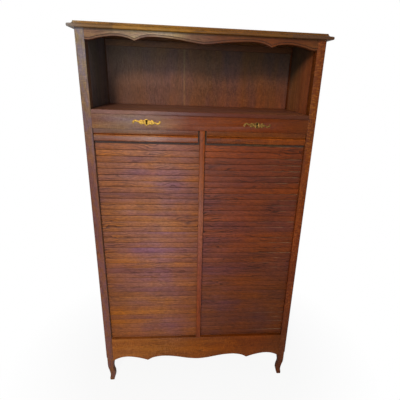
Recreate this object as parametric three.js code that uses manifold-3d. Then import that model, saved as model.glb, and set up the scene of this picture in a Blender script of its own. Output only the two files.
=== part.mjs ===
// Tambour door cabinet: an open display niche above two roll-down slatted doors, on cabriole feet.
// Millimetres, +Z up, +X to the right seen from the front, the front faces -Y.
// Inside the cabinet group y runs backwards from the front face of the posts, and z up from the floor.
// Pieces that come in pairs are made for the right-hand side; a mirrored group makes the left ones.
import * as THREE from "three";
import { mergeVertices } from "three/addons/utils/BufferGeometryUtils.js";
import Module from "manifold-3d";

const wasm = await Module();
wasm.setup();

// Case
const case_width = 900; // across the outer faces of the posts
const case_depth = 376; // front of the front posts to the back of the rear posts
const post_top = 1595;
const post_face = 31.5; // width of a post seen from the front
const post_depth = 45;
const post_round = 1.6; // rounded arris of a post
const joint_gap = 0.3; // glue line or fit between two seated pieces
const cut_overrun = 3; // how far a cutter runs past the face it opens

// Legs: the lower end of each post
const leg_height = 150;
const leg_round = 5; // rounded arris of the slender part of a leg

// Top board
const top_thickness = 21;
const nose_overhang = 20;

// Front rails
const top_rail_height = 32;
const top_rail_thickness = 20;
const bead_width = 8; // plain band between a scalloped edge and its routed line
const bead_line_width = 2.2;
const bead_line_depth = 1.6;
const lock_rail_height = 54;
const lock_rail_thickness = 22;
const apron_top = 257.9;
const apron_height = 132.4; // at the deepest point, on the centre line
const apron_rise = 25; // how far the lower edge climbs above that point
const apron_thickness = 16.5;
const front_tenon_length = 14;
const front_tenon_thickness = 8;
const front_tenon_shoulder = 5; // rail edge to tenon edge
const front_arris = 2; // rounded front edge of the apron, shelf and stile

// Niche
const niche_height = 268; // niche shelf to the underside of the top board
const niche_shelf_thickness = 15.4;
const housing_depth = 5; // how far a board is let into the lining or the partition

// Sides
const lining_thickness = 14;
const side_top_rail_height = 75;
const side_bottom_rail_height = 125;
const side_bottom_rail_rise = 18;
const side_tenon_length = 12;
const side_tenon_thickness = 8;
const panel_thickness = 8;
const panel_groove = 8; // depth of the groove that holds a panel

// Back
const back_thickness = 8;
const back_recess = 7.5; // rear of the posts to the back panels
const back_groove = 8;
const rear_top_rail_height = 25;
const rear_bottom_rail_height = 22;
const rear_rail_thickness = 15;

// Inside the bays
const stile_width = 21;
const stile_thickness = 17.5;
const stile_tenon_length = 12;
const bottom_thickness = 12;
const bottom_top = 163; // floor to the upper face of the case bottom
const bay_floor_drop = 8; // apron top to bay floor
const bay_floor_thickness = 18;
const inner_back_thickness = 6;
const inner_back_gap = 4.2; // false back to the curtain's rear run
const shelves_per_bay = 3;
const shelf_thickness = 12;
const shelf_setback = 6; // back of the curtain to the front edge of the shelves
const shelf_side_gap = 1;
const cleat_width = 10;
const cleat_height = 12;
const cleat_end_gap = 18; // shelf end to cleat end

// Tambour
const slat_pitch = 25.4;
const slat_thickness = 8.5;
const slat_chamfer = 1.1; // bevel at each long edge, down to the canvas
const canvas_thickness = 0.8;
const slat_setback = 18; // front face of the posts to the slats
const tail_slats = 4; // slats already round the bend when the door is closed
const bend_radius = 51; // of the canvas line, at the bottom corners of the track
const groove_depth = 7;
const tongue_length = 6; // how far the slats reach into the grooves
const track_front_gap = 0.5;
const track_back_gap = 2;
const track_floor_gap = 4; // case bottom to the slats that run over it
const track_rear_gap = 5; // back panel to the slats that rise in front of it
const track_end_gap = 40; // spare groove past the end of the open curtain
const closed_gap = 0.3; // lead rail to lock rail
const open_stop_gap = 3; // lead rail's bar to the apron when the door is open

// Lead rail
const strip_height = 17;
const strip_setback = 2;
const cove_height = 5;
const cove_depth = 5;
const bar_height = 25;
const bar_proud = 2;
const bar_roundness = 3.5;
const skirt_height = 10.2;
const lead_gap_at_post = 2.5;
const lead_gap_at_stile = 6.5;

// Lock
const key_height = 27.5; // underside of the lock rail to the middle of the key plate
const lock_half_width = 22;
const lock_height = 44.5;
const lock_front = 8; // front face of the posts to the lock case
const hook_plane = 15; // front face of the posts to the middle of the hook
const hook_thickness = 3;
const hook_side_gap = 0.5;
const hook_inner_radius = 11;
const hook_outer_radius = 15;
const hook_boss_radius = 5;
const hook_arm_width = 4.5;
const hook_span_degrees = 90;
const hook_rest_degrees = -10; // where the hook's tip points when it is drawn back
const hook_swing_gap = 1.6;
const pivot_height = 7.2; // underside of the lock rail to the stud
const stud_radius = 2;
const stud_clearance = 0.2;
const keyhole_radius = 2.7;
const keyhole_slot_width = 2.6;
const keyhole_rise = 5; // middle of the plate up to the round of the keyhole
const keyhole_drop = 5; // middle of the plate down to the end of the slot
const strike_thickness = 1.5;
const strike_half_width = 21.5;
const strike_depth = 13;
const strike_slot_gap = 0.6;
const key_plate_half_length = 54.5;
const key_plate_half_height = 12;
const key_plate_thickness = 1.2;

// How finely curves are divided
const corner_steps = 3;
const lobe_steps = 12;
const bend_steps = 8;
const round_steps = 24;

// Levels of a leg from the floor up: [height, outer face, inner face, far side, roundness]. Heights
// are shares of the leg, the faces move outwards by shares of the post's width, the far side comes
// in by a share of the post's depth, and roundness is a share of leg_round.
const leg_level_shares = [
  [0, -0.18, -0.15, 0.3, 0.9],
  [0.05, -0.175, -0.09, 0.28, 1],
  [0.11, -0.225, -0.015, 0.27, 1],
  [0.2, -0.265, 0.11, 0.26, 1],
  [0.32, -0.22, 0.095, 0.25, 1],
  [0.43, -0.15, -0.055, 0.22, 1],
  [0.53, -0.075, -0.12, 0.17, 0.9],
  [0.62, -0.04, -0.065, 0.12, 0.8],
  [0.72, -0.035, -0.025, 0.07, 0.7],
  [0.82, -0.045, -0.005, 0.02, 0.6],
  [0.86, -0.045, 0, 0, 0.5],
  [0.94, -0.05, 0, 0, 0.4],
  [1, 0, 0, 0, 0.32],
];

// Section of the top board's edge, from the underside up, in shares of the overhang and thickness.
const nose_shares = [
  [0.7, 0],
  [0.88, 0.04],
  [0.98, 0.13],
  [1, 0.24],
  [0.96, 0.36],
  [0.82, 0.46],
  [0.55, 0.51],
  [0.34, 0.56],
  [0.24, 0.66],
  [0.2, 0.78],
  [0.13, 0.79],
  [0.13, 0.97],
  [0.11, 1],
];

// Lobes of the scalloped edges, from the post to the centre line, in shares of the half span and
// of the rail's height or the apron's rise. One lobe ends and the next starts at a cusp.
const top_rail_lobe_shares = [
  [[1, 1], [0.955, 0.99], [0.879, 0.75], [0.76, 0.56], [0.66, 0.65], [0.59, 0.92]],
  [[0.59, 0.92], [0.52, 0.6], [0.42, 0.47], [0.24, 0.59], [0.1, 0.8], [0, 0.93]],
];
const apron_lobe_shares = [
  [[1, 0], [0.98, 0.28], [0.95, 0.56], [0.908, 0.83], [0.848, 1], [0.772, 0.91], [0.67, 0.5],
    [0.595, 0.02]],
  [[0.595, 0.02], [0.55, 0.5], [0.5, 0.76], [0.43, 0.94], [0.34, 0.88], [0.25, 0.66], [0.1, 0.14],
    [0, 0]],
];
const side_apron_lobe_shares = [
  [[1, 0.1], [0.86, 0.72], [0.7, 1], [0.5, 0.82], [0.28, 0.3], [0, 0]],
];

// Upper half of the key plate's outline, left tip to right tip, in shares of its half length and
// half height. The lower half is the same turned by half a circle.
const key_plate_shares = [
  [-1, 0],
  [-0.95, 0.32],
  [-0.88, 0.58],
  [-0.77, 0.75],
  [-0.66, 0.58],
  [-0.56, 0.4],
  [-0.47, 0.58],
  [-0.38, 0.82],
  [-0.29, 0.67],
  [-0.2, 0.65],
  [-0.1, 0.86],
  [0, 1],
  [0.1, 0.84],
  [0.18, 0.58],
  [0.27, 0.53],
  [0.38, 0.75],
  [0.49, 0.44],
  [0.6, 0.1],
  [0.71, -0.12],
  [0.8, -0.1],
  [0.86, 0.2],
  [0.91, 0.58],
  [0.97, 0.37],
];

// Places that follow from the sizes
const half_width = case_width / 2;
const post_inner = half_width - post_face;
const rear_post_front = case_depth - post_depth;
const centre_half = stile_width / 2;
const bay_centre = (centre_half + post_inner) / 2;
const niche_shelf_top = post_top - niche_height;
const niche_shelf_bottom = niche_shelf_top - niche_shelf_thickness;
const lock_rail_top = niche_shelf_bottom - joint_gap;
const lock_rail_bottom = lock_rail_top - lock_rail_height;
const back_rear = case_depth - back_recess;
const back_front = back_rear - back_thickness;
const bay_floor_top = apron_top - bay_floor_drop;
const slat_back = slat_setback + slat_thickness;
const curtain_back = slat_back + canvas_thickness;
const lead_top = lock_rail_bottom - closed_gap;
const lead_bar_bottom = lead_top - strip_height - cove_height - bar_height;
const lead_bottom = lead_bar_bottom - skirt_height;
const tambour_travel = lead_bar_bottom - apron_top - open_stop_gap;
const bend_z = bottom_top + track_floor_gap + slat_thickness + bend_radius;
const front_bend_y = slat_back + bend_radius;
const rear_bend_y = back_front - track_rear_gap - slat_thickness - bend_radius;
const hanging_slats = Math.floor((lead_bottom - bend_z) / slat_pitch);
const curtain_bottom = lead_bottom - hanging_slats * slat_pitch;
const rear_run_front = rear_bend_y + bend_radius - canvas_thickness - track_back_gap;
const inner_back_rear = rear_run_front - inner_back_gap;
const inner_back_front = inner_back_rear - inner_back_thickness;
const pivot_z = lock_rail_bottom + pivot_height;
const key_z = lock_rail_bottom + key_height;
const shelf_front = curtain_back + shelf_setback;
const lining_back = post_inner + lining_thickness;
const rail_inner = lining_back + joint_gap;
const panel_inner = (rail_inner + half_width - panel_thickness) / 2;

// Solids

function solidFrom(geometry) {
  geometry.deleteAttribute("normal");
  geometry.deleteAttribute("uv");
  const merged = mergeVertices(geometry);
  return new wasm.Manifold(
    new wasm.Mesh({
      numProp: 3,
      vertProperties: merged.attributes.position.array,
      triVerts: new Uint32Array(merged.index.array),
    }),
  );
}

function geometryFrom(solid) {
  const { vertProperties, triVerts } = solid.getMesh();
  const geometry = new THREE.BufferGeometry();
  geometry.setAttribute("position", new THREE.BufferAttribute(vertProperties, 3));
  geometry.setIndex(new THREE.BufferAttribute(triVerts, 1));
  const flat = geometry.toNonIndexed();
  flat.computeVertexNormals();
  return flat;
}

// A block between two values on each axis.
function block({ x, y, z }) {
  const size = [x, y, z].map(([low, high]) => high - low);
  const middle = [x, y, z].map(([low, high]) => (low + high) / 2);
  return solidFrom(new THREE.BoxGeometry(...size).translate(...middle));
}

function grown({ x, y, z }, by) {
  const wider = ([low, high]) => [low - by, high + by];
  return { x: wider(x), y: wider(y), z: wider(z) };
}

function mirroredRange([low, high]) {
  return [-high, -low];
}

// The same block on the left and on the right.
function bothSides(range) {
  return block(range).add(block({ ...range, x: mirroredRange(range.x) }));
}

function shapeOf(points) {
  return new THREE.Shape(points.map(([a, b]) => new THREE.Vector2(a, b)));
}

// An outline of [y, z] points, run along x.
function alongX(points, [from, to]) {
  const run = { depth: to - from, bevelEnabled: false };
  const geometry = new THREE.ExtrudeGeometry(shapeOf(points), run);
  const turn = new THREE.Matrix4().makeBasis(
    new THREE.Vector3(0, 1, 0),
    new THREE.Vector3(0, 0, 1),
    new THREE.Vector3(1, 0, 0),
  );
  return solidFrom(geometry.applyMatrix4(turn).translate(from, 0, 0));
}

// An outline of [x, z] points, run along y.
function alongY(points, [from, to]) {
  const run = { depth: to - from, bevelEnabled: false };
  const geometry = new THREE.ExtrudeGeometry(shapeOf(points), run);
  return solidFrom(geometry.rotateX(Math.PI / 2).translate(0, to, 0));
}

// A round bar along y.
function barAlongY(radius, x, z, [from, to]) {
  const geometry = new THREE.CylinderGeometry(radius, radius, to - from, round_steps);
  return solidFrom(geometry.translate(x, (from + to) / 2, z));
}

// A closed skin over rings of equally many points, each ring anticlockwise seen from above.
function loft(rings) {
  const count = rings[0].length;
  const positions = rings.flat(2);
  const index = [];
  for (let ring = 0; ring < rings.length - 1; ring += 1) {
    for (let i = 0; i < count; i += 1) {
      const next = (i + 1) % count;
      const [a, b] = [ring * count + i, ring * count + next];
      index.push(a, b, a + count, b, b + count, a + count);
    }
  }
  const top = (rings.length - 1) * count;
  for (let i = 1; i < count - 1; i += 1) {
    index.push(0, i + 1, i);
    index.push(top, top + i, top + i + 1);
  }
  const geometry = new THREE.BufferGeometry();
  geometry.setAttribute("position", new THREE.Float32BufferAttribute(positions, 3));
  geometry.setIndex(index);
  return solidFrom(geometry);
}

// A level ring: a rectangle with rounded corners.
function roundedRing([x0, x1], [y0, y1], z, radius) {
  const corners = [[x1, y1, 0], [x0, y1, 1], [x0, y0, 2], [x1, y0, 3]];
  return corners.flatMap(([x, y, quarter]) => {
    const [cx, cy] = [x === x1 ? x - radius : x + radius, y === y1 ? y - radius : y + radius];
    return Array.from({ length: corner_steps + 1 }, (_, i) => {
      const angle = ((quarter + i / corner_steps) * Math.PI) / 2;
      return [cx + radius * Math.cos(angle), cy + radius * Math.sin(angle), z];
    });
  });
}

// Points of a circle's stretch in degrees, from one angle to another.
function arc(cx, cy, radius, from, to, steps) {
  return Array.from({ length: steps + 1 }, (_, i) => {
    const angle = THREE.MathUtils.degToRad(from + ((to - from) * i) / steps);
    return [cx + radius * Math.cos(angle), cy + radius * Math.sin(angle)];
  });
}

// Points [x, height] of a scalloped edge, left to right, alike on both sides of the centre line.
function scallopedEdge(half_span, rise, lobes) {
  const right = lobes.flatMap((lobe, nth) => {
    const points = lobe.map(([along, up]) => new THREE.Vector2(along * half_span, up * rise));
    const curve = new THREE.SplineCurve(points).getPoints(lobe_steps);
    return curve.slice(nth ? 1 : 0).map((p) => [p.x, p.y]);
  });
  const left = right.slice(0, -1).map(([x, up]) => [-x, up]);
  return [...left, ...right.reverse()];
}

// Section [y, z] of a board whose front edge is rounded above and, if asked, below.
function roundedFrontSection([y0, y1], [z0, z1], radius, round_below) {
  const above = arc(y0 + radius, z1 - radius, radius, 90, 180, corner_steps);
  const below = arc(y0 + radius, z0 + radius, radius, 180, 270, corner_steps);
  return [[y1, z0], [y1, z1], ...above, ...(round_below ? below : [[y0, z0]])];
}

// Tenons and housings, each drawn once for the right-hand side and cut into its neighbour
// with the joint gap all round

function frontTenon([z0, z1], thickness) {
  const middle = thickness / 2;
  return {
    x: [post_inner - joint_gap - cut_overrun, post_inner + front_tenon_length],
    y: [middle - front_tenon_thickness / 2, middle + front_tenon_thickness / 2],
    z: [z0 + front_tenon_shoulder, z1 - front_tenon_shoulder],
  };
}

const top_rail_tenon = frontTenon([post_top - top_rail_height, post_top], top_rail_thickness);
const lock_rail_tenon = frontTenon([lock_rail_bottom, lock_rail_top], lock_rail_thickness);
const apron_tenon = frontTenon([apron_top - apron_height + apron_rise, apron_top], apron_thickness);

// Tenons at the two ends of a side rail, which run along y into the posts.
function sideTenons([z0, z1]) {
  const middle = (rail_inner + half_width) / 2;
  return {
    x: [middle - side_tenon_thickness / 2, middle + side_tenon_thickness / 2],
    y: [post_depth - side_tenon_length, rear_post_front + side_tenon_length],
    z: [z0 + front_tenon_shoulder, z1 - front_tenon_shoulder],
  };
}

const side_bottom_rail_bottom = apron_top - side_bottom_rail_height;
const side_top_rail_bottom = post_top - side_top_rail_height;
const side_top_tenons = sideTenons([side_top_rail_bottom, post_top]);
const side_bottom_tenons = sideTenons([side_bottom_rail_bottom + side_bottom_rail_rise, apron_top]);

const side_panel_range = {
  x: [panel_inner, panel_inner + panel_thickness],
  y: [post_depth - panel_groove + joint_gap, rear_post_front + panel_groove - joint_gap],
  z: [apron_top - panel_groove + joint_gap, side_top_rail_bottom + panel_groove - joint_gap],
};

const rear_rail_y = [back_front - joint_gap - rear_rail_thickness, back_front - joint_gap];
const rear_top_z = [post_top - rear_top_rail_height, post_top - joint_gap];
const rear_bottom_top = bottom_top - bottom_thickness - joint_gap;
const rear_bottom_z = [rear_bottom_top - rear_bottom_rail_height, rear_bottom_top];

function rearTenon([z0, z1]) {
  const middle = (rear_rail_y[0] + rear_rail_y[1]) / 2;
  return {
    x: [post_inner - joint_gap - cut_overrun, post_inner + front_tenon_length],
    y: [middle - front_tenon_thickness / 2, middle + front_tenon_thickness / 2],
    z: [z0 + front_tenon_shoulder, z1 - front_tenon_shoulder],
  };
}

// The part of a full-depth board that is let into the side linings.
function liningHousing([z0, z1]) {
  return {
    x: [post_inner - joint_gap - cut_overrun, post_inner + housing_depth],
    y: [post_depth + joint_gap, rear_post_front - joint_gap],
    z: [z0, z1],
  };
}

const niche_shelf_z = [niche_shelf_bottom, niche_shelf_top];
const bottom_z = [bottom_top - bottom_thickness, bottom_top];
const bay_floor_z = [bay_floor_top - bay_floor_thickness, bay_floor_top];

// The part of a bay floor that is let into the partition.
const partition_housing = {
  x: [centre_half - housing_depth, centre_half + joint_gap + cut_overrun],
  y: [post_depth + joint_gap, rear_post_front - joint_gap],
  z: bay_floor_z,
};

// The track: one groove from behind the lock rail down the front, round the bottom and up the back

// How high the end of the open curtain climbs in the rear run.
function openCurtainEnd() {
  const length = (hanging_slats + tail_slats) * slat_pitch;
  const straight = lead_bottom - tambour_travel - bend_z;
  const round_bottom = Math.PI * bend_radius + rear_bend_y - front_bend_y;
  return bend_z + length - straight - round_bottom;
}

function trackOutline() {
  const outer = bend_radius + slat_thickness + track_front_gap;
  const inner = bend_radius - canvas_thickness - track_back_gap;
  const rear_top = openCurtainEnd() + track_end_gap;
  return [
    [front_bend_y - outer, lock_rail_bottom],
    ...arc(front_bend_y, bend_z, outer, 180, 270, bend_steps),
    ...arc(rear_bend_y, bend_z, outer, 270, 360, bend_steps),
    [rear_bend_y + outer, rear_top],
    [rear_bend_y + inner, rear_top],
    ...arc(rear_bend_y, bend_z, inner, 360, 270, bend_steps),
    ...arc(front_bend_y, bend_z, inner, 270, 180, bend_steps),
    [front_bend_y - inner, lock_rail_bottom],
  ];
}

const side_track = alongX(trackOutline(), [post_inner - cut_overrun, post_inner + groove_depth]);
const centre_track = alongX(trackOutline(), [centre_half - groove_depth, centre_half + cut_overrun]);

// Case pieces

function topBoard() {
  const rings = nose_shares.map(([out_share, up_share]) => {
    const out = out_share * nose_overhang;
    const z = post_top + joint_gap + up_share * top_thickness;
    const x = half_width + out;
    return [[x, case_depth, z], [-x, case_depth, z], [-x, -out, z], [x, -out, z]];
  });
  return loft(rings);
}

// A post with its leg, which swells inwards at the ankle and flares out at the toe. A front leg
// bends on its front face too; a rear leg stays flat at the back, so that it can touch a wall.
function post(front) {
  const rings = leg_level_shares.map(([height, outer, inner, far, roundness]) => {
    const x = [post_inner - inner * post_face, half_width + outer * post_face];
    const near_y = front ? -outer * post_face : rear_post_front + far * post_depth;
    const far_y = front ? post_depth - far * post_depth : case_depth;
    const radius = Math.max(post_round, roundness * leg_round);
    return roundedRing(x, [near_y, far_y], height * leg_height, radius);
  });
  const y = front ? [0, post_depth] : [rear_post_front, case_depth];
  rings.push(roundedRing([post_inner, half_width], y, post_top, post_round));
  return loft(rings);
}

function cutBy(solid, ranges) {
  return ranges.reduce((left, range) => left.subtract(block(grown(range, joint_gap))), solid);
}

function frontPost() {
  const joints = [top_rail_tenon, lock_rail_tenon, apron_tenon];
  const side_joints = [side_top_tenons, side_bottom_tenons, side_panel_range];
  return cutBy(post(true), [...joints, ...side_joints]).subtract(side_track);
}

// The groove that holds the back panels in a rear post.
function backGroove() {
  return {
    x: [post_inner - cut_overrun, post_inner + back_groove],
    y: [back_front, back_rear],
    z: [bottom_top - bottom_thickness, post_top + cut_overrun],
  };
}

function rearPost() {
  const joints = [rearTenon(rear_top_z), rearTenon(rear_bottom_z), backGroove()];
  const side_joints = [side_top_tenons, side_bottom_tenons, side_panel_range];
  return cutBy(post(false), [...joints, ...side_joints]).subtract(side_track);
}

// The routed line that follows a scalloped edge at the width of the bead.
function beadLine(edge) {
  const lower = edge.map(([x, z]) => [x, z + bead_width]);
  const upper = edge.map(([x, z]) => [x, z + bead_width + bead_line_width]).reverse();
  return alongY([...lower, ...upper], [-cut_overrun, bead_line_depth]);
}

function frontTopRail() {
  const half_span = post_inner - joint_gap;
  const edge = scallopedEdge(half_span, top_rail_height, top_rail_lobe_shares);
  const lower = edge.map(([x, drop]) => [x, post_top - drop]);
  const top = post_top - joint_gap;
  const board = alongY([...lower, [half_span, top], [-half_span, top]], [0, top_rail_thickness]);
  return board.subtract(beadLine(lower)).add(bothSides(top_rail_tenon));
}

function frontApron() {
  const half_span = post_inner - joint_gap;
  const bottom = apron_top - apron_height;
  const rises = scallopedEdge(half_span, apron_rise, apron_lobe_shares);
  const edge = rises.map(([x, up]) => [x, bottom + up]);
  const y = [0, apron_thickness];
  const board = alongY([...edge, [half_span, apron_top], [-half_span, apron_top]], y);
  const section = roundedFrontSection(y, [bottom - cut_overrun, apron_top], front_arris, false);
  const rounded = board.intersect(alongX(section, [-half_width, half_width]));
  const mortise = block(grown(stileTenon(apron_top, -stile_tenon_length), joint_gap));
  return rounded.subtract(mortise).add(bothSides(apron_tenon));
}

// A stub tenon of the centre stile, from a level up or down into a rail.
function stileTenon(level, length) {
  const ends = [level, level + length].sort((a, b) => a - b);
  const middle = apron_thickness / 2;
  return {
    x: [-centre_half / 2, centre_half / 2],
    y: [middle - front_tenon_thickness / 4, middle + front_tenon_thickness / 4],
    z: ends,
  };
}

function centreStile() {
  const ring = (z) => roundedRing([-centre_half, centre_half], [0, stile_thickness], z, front_arris);
  const body = loft([ring(apron_top + joint_gap), ring(lock_rail_bottom - joint_gap)]);
  const foot = stileTenon(apron_top + front_arris, -stile_tenon_length - front_arris);
  const head = stileTenon(lock_rail_bottom - front_arris, stile_tenon_length + front_arris);
  return body.add(block(foot)).add(block(head));
}

const lock_case_range = {
  x: [bay_centre - lock_half_width, bay_centre + lock_half_width],
  y: [lock_front, lock_rail_thickness],
  z: [lock_rail_bottom + joint_gap, lock_rail_bottom + joint_gap + lock_height],
};

// Cutter for a keyhole: a round above a slot, between two depths.
function keyhole(y) {
  const slot = {
    x: [bay_centre - keyhole_slot_width / 2, bay_centre + keyhole_slot_width / 2],
    y,
    z: [key_z - keyhole_drop, key_z + keyhole_rise],
  };
  return barAlongY(keyhole_radius, bay_centre, key_z + keyhole_rise, y).add(block(slot));
}

function lockRail() {
  const z = [lock_rail_bottom, lock_rail_top];
  const section = roundedFrontSection([0, lock_rail_thickness], z, front_arris / 2, true);
  const half_span = post_inner - joint_gap;
  const recess = grown(lock_case_range, joint_gap);
  recess.y[1] += cut_overrun;
  recess.z[0] -= cut_overrun;
  const bore = keyhole([-cut_overrun, lock_front + cut_overrun]);
  const mortise = grown(stileTenon(lock_rail_bottom, stile_tenon_length), joint_gap);
  return alongX(section, [-half_span, half_span])
    .subtract(bothSides(recess))
    .subtract(bore.add(bore.mirror([1, 0, 0])))
    .subtract(block(mortise))
    .add(bothSides(lock_rail_tenon));
}

// A level board across the case: its ends butt against the posts and are let into the linings.
function crossBoard([y0, y1], z, round_front) {
  const half_span = post_inner - joint_gap;
  const radius = round_front ? front_arris : front_arris / 2;
  const section = roundedFrontSection([y0, y1], z, radius, round_front);
  return alongX(section, [-half_span, half_span]).add(bothSides(liningHousing(z)));
}

function nicheShelf() {
  return crossBoard([0, back_front - joint_gap], niche_shelf_z, true);
}

function caseBottom() {
  return crossBoard([apron_thickness + joint_gap, back_front - joint_gap], bottom_z, false);
}

function backPanel([z0, z1]) {
  const reach = post_inner + back_groove - joint_gap;
  return block({ x: [-reach, reach], y: [back_front, back_rear], z: [z0, z1] });
}

function rearRail(z) {
  const half_span = post_inner - joint_gap;
  return block({ x: [-half_span, half_span], y: rear_rail_y, z }).add(bothSides(rearTenon(z)));
}

function sideTopRail() {
  const rail = block({
    x: [rail_inner, half_width],
    y: [post_depth + joint_gap, rear_post_front - joint_gap],
    z: [side_top_rail_bottom, post_top - joint_gap],
  });
  return rail.add(block(side_top_tenons)).subtract(block(grown(side_panel_range, joint_gap)));
}

// The lower side rail: its lower edge is scalloped as the apron is.
function sideBottomRail() {
  const middle = (post_depth + rear_post_front) / 2;
  const half_span = rear_post_front - joint_gap - middle;
  const edge = scallopedEdge(half_span, side_bottom_rail_rise, side_apron_lobe_shares);
  const lower = edge.map(([along, up]) => [middle + along, side_bottom_rail_bottom + up]);
  const outline = [...lower, [middle + half_span, apron_top], [middle - half_span, apron_top]];
  const rail = alongX(outline, [rail_inner, half_width]).add(block(side_bottom_tenons));
  return rail.subtract(block(grown(side_panel_range, joint_gap)));
}

function sideLining() {
  const board = block({
    x: [post_inner, lining_back],
    y: [post_depth + joint_gap, rear_post_front - joint_gap],
    z: [bottom_z[0], post_top - joint_gap],
  });
  const housings = [niche_shelf_z, bottom_z, bay_floor_z].map(liningHousing);
  return cutBy(board, housings).subtract(side_track);
}

// The partition between the bays stands behind the stile, is notched for the lock rail, and has a
// track groove on each face.
function centrePartition() {
  const board = block({
    x: [-centre_half, centre_half],
    y: [stile_thickness + joint_gap, back_front - joint_gap],
    z: [bottom_top + joint_gap, niche_shelf_bottom - joint_gap],
  });
  const notch = block({
    x: [-half_width, half_width],
    y: [-cut_overrun, lock_rail_thickness + joint_gap],
    z: [lock_rail_bottom, post_top],
  });
  const housing = bothSides(grown(partition_housing, joint_gap));
  const tracks = centre_track.add(centre_track.mirror([1, 0, 0]));
  return board.subtract(notch).subtract(tracks).subtract(housing);
}

function bayFloor() {
  const y = [shelf_front, inner_back_rear];
  const board = block({ x: [centre_half + joint_gap, post_inner - joint_gap], y, z: bay_floor_z });
  return board.add(block(liningHousing(bay_floor_z))).add(block(partition_housing));
}

function innerBack() {
  return block({
    x: [centre_half + joint_gap, post_inner - joint_gap],
    y: [inner_back_front, inner_back_rear],
    z: [bay_floor_top + joint_gap, niche_shelf_bottom - joint_gap],
  });
}

// Underside of a shelf, counted from the bottom of the bay.
function shelfLevel(nth) {
  const room = niche_shelf_bottom - bay_floor_top;
  return bay_floor_top + (room * nth) / (shelves_per_bay + 1);
}

// Shelves and cleats are modelled at level zero and placed by their meshes.
function shelf() {
  const x = [centre_half + shelf_side_gap, post_inner - shelf_side_gap];
  const y = [shelf_front, inner_back_front - shelf_side_gap];
  return alongX(roundedFrontSection(y, [0, shelf_thickness], front_arris, true), x);
}

// A cleat under one end of a shelf, with its front end cut back at a slope.
function cleat(x) {
  const y = [shelf_front + cleat_end_gap, inner_back_front - cleat_end_gap];
  const slope_end = y[0] + cleat_height;
  const lower = [[slope_end, -cleat_height], [y[1], -cleat_height]];
  return alongX([[y[0], -joint_gap], ...lower, [y[1], -joint_gap]], x);
}

// Tambour

// Outline [y, z] of slats glued to canvas. Hinges are the points on the canvas where one slat ends
// and the next starts; with y to the right and z up, the faces of the slats lie to the right of the run.
function curtainOutline(hinges) {
  const fronts = [];
  const normals = [];
  for (let i = 0; i < hinges.length - 1; i += 1) {
    const from = new THREE.Vector2(...hinges[i]);
    const along = new THREE.Vector2(...hinges[i + 1]).sub(from);
    const length = along.length();
    along.normalize();
    const normal = new THREE.Vector2(along.y, -along.x);
    normals.push(normal);
    fronts.push(from.toArray());
    for (const reach of [slat_chamfer, length - slat_chamfer]) {
      const corner = from.clone().addScaledVector(along, reach).addScaledVector(normal, slat_thickness);
      fronts.push(corner.toArray());
    }
  }
  fronts.push(hinges.at(-1));
  const backs = hinges.map((hinge, i) => {
    const before = normals[Math.max(i - 1, 0)];
    const after = normals[Math.min(i, normals.length - 1)];
    const mean = before.clone().add(after).normalize();
    return new THREE.Vector2(...hinge).addScaledVector(mean, -canvas_thickness).toArray();
  });
  return [...fronts, ...backs.reverse()];
}

const curtain_x = [centre_half - tongue_length, post_inner + tongue_length];

// The hanging part of the curtain, closed.
function curtain() {
  const count = hanging_slats + 1;
  const hinges = Array.from({ length: count }, (_, i) => [slat_back, lead_bottom - i * slat_pitch]);
  return alongX(curtainOutline(hinges), curtain_x);
}

// A point on the canvas line at a distance below the end of the hanging part.
function tailPoint(distance) {
  const straight = curtain_bottom - joint_gap - bend_z;
  const quarter = (Math.PI / 2) * bend_radius;
  if (distance <= straight) {
    return [slat_back, curtain_bottom - joint_gap - distance];
  }
  const turned = Math.min(distance - straight, quarter) / bend_radius;
  const beyond = Math.max(distance - straight - quarter, 0);
  const y = front_bend_y - bend_radius * Math.cos(turned) + beyond;
  return [y, bend_z - bend_radius * Math.sin(turned)];
}

function curtainTail() {
  const hinges = Array.from({ length: tail_slats + 1 }, (_, i) => tailPoint(i * slat_pitch));
  return alongX(curtainOutline(hinges), curtain_x);
}

// Section [y, z] of the lead rail: strip, cove, rounded bar, and the skirt the canvas is glued to.
function leadOutline() {
  const strip_bottom = lead_top - strip_height;
  const bar_top = strip_bottom - cove_height;
  const bar_middle = bar_top - bar_height / 2;
  const bar = arc(0, 0, 1, 90, 270, bend_steps).map(([out, up]) => [
    bar_roundness - bar_proud + out * bar_roundness,
    bar_middle + (up * bar_height) / 2,
  ]);
  return [
    [curtain_back, lead_top],
    [strip_setback, lead_top],
    [strip_setback, strip_bottom],
    [strip_setback + cove_depth, strip_bottom - cove_height / 4],
    [strip_setback + cove_depth, bar_top],
    ...bar,
    [slat_setback, lead_bar_bottom],
    [slat_setback, lead_bottom + joint_gap],
    [curtain_back, lead_bottom + joint_gap],
  ];
}

const strike_range = {
  x: [bay_centre - strike_half_width, bay_centre + strike_half_width],
  y: [hook_plane - strike_depth / 2, hook_plane + strike_depth / 2],
  z: [lead_top - strike_thickness, lead_top],
};

// The space that the hook swings in, below the strike plate.
function hookMortise() {
  const half_thickness = hook_thickness / 2 + hook_side_gap;
  const reach = hook_outer_radius + hook_swing_gap;
  return {
    x: [bay_centre - reach, bay_centre + reach],
    y: [hook_plane - half_thickness, hook_plane + half_thickness],
    z: [pivot_z - reach, lead_top + cut_overrun],
  };
}

function leadRail() {
  const x = [centre_half + lead_gap_at_stile, post_inner - lead_gap_at_post];
  const tongue = {
    x: curtain_x,
    y: [slat_setback, curtain_back],
    z: [lead_bottom + joint_gap, lead_top],
  };
  const recess = grown(strike_range, joint_gap);
  recess.z[1] += cut_overrun;
  const rail = alongX(leadOutline(), x).add(block(tongue));
  return rail.subtract(block(recess)).subtract(block(hookMortise()));
}

// Lock

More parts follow.
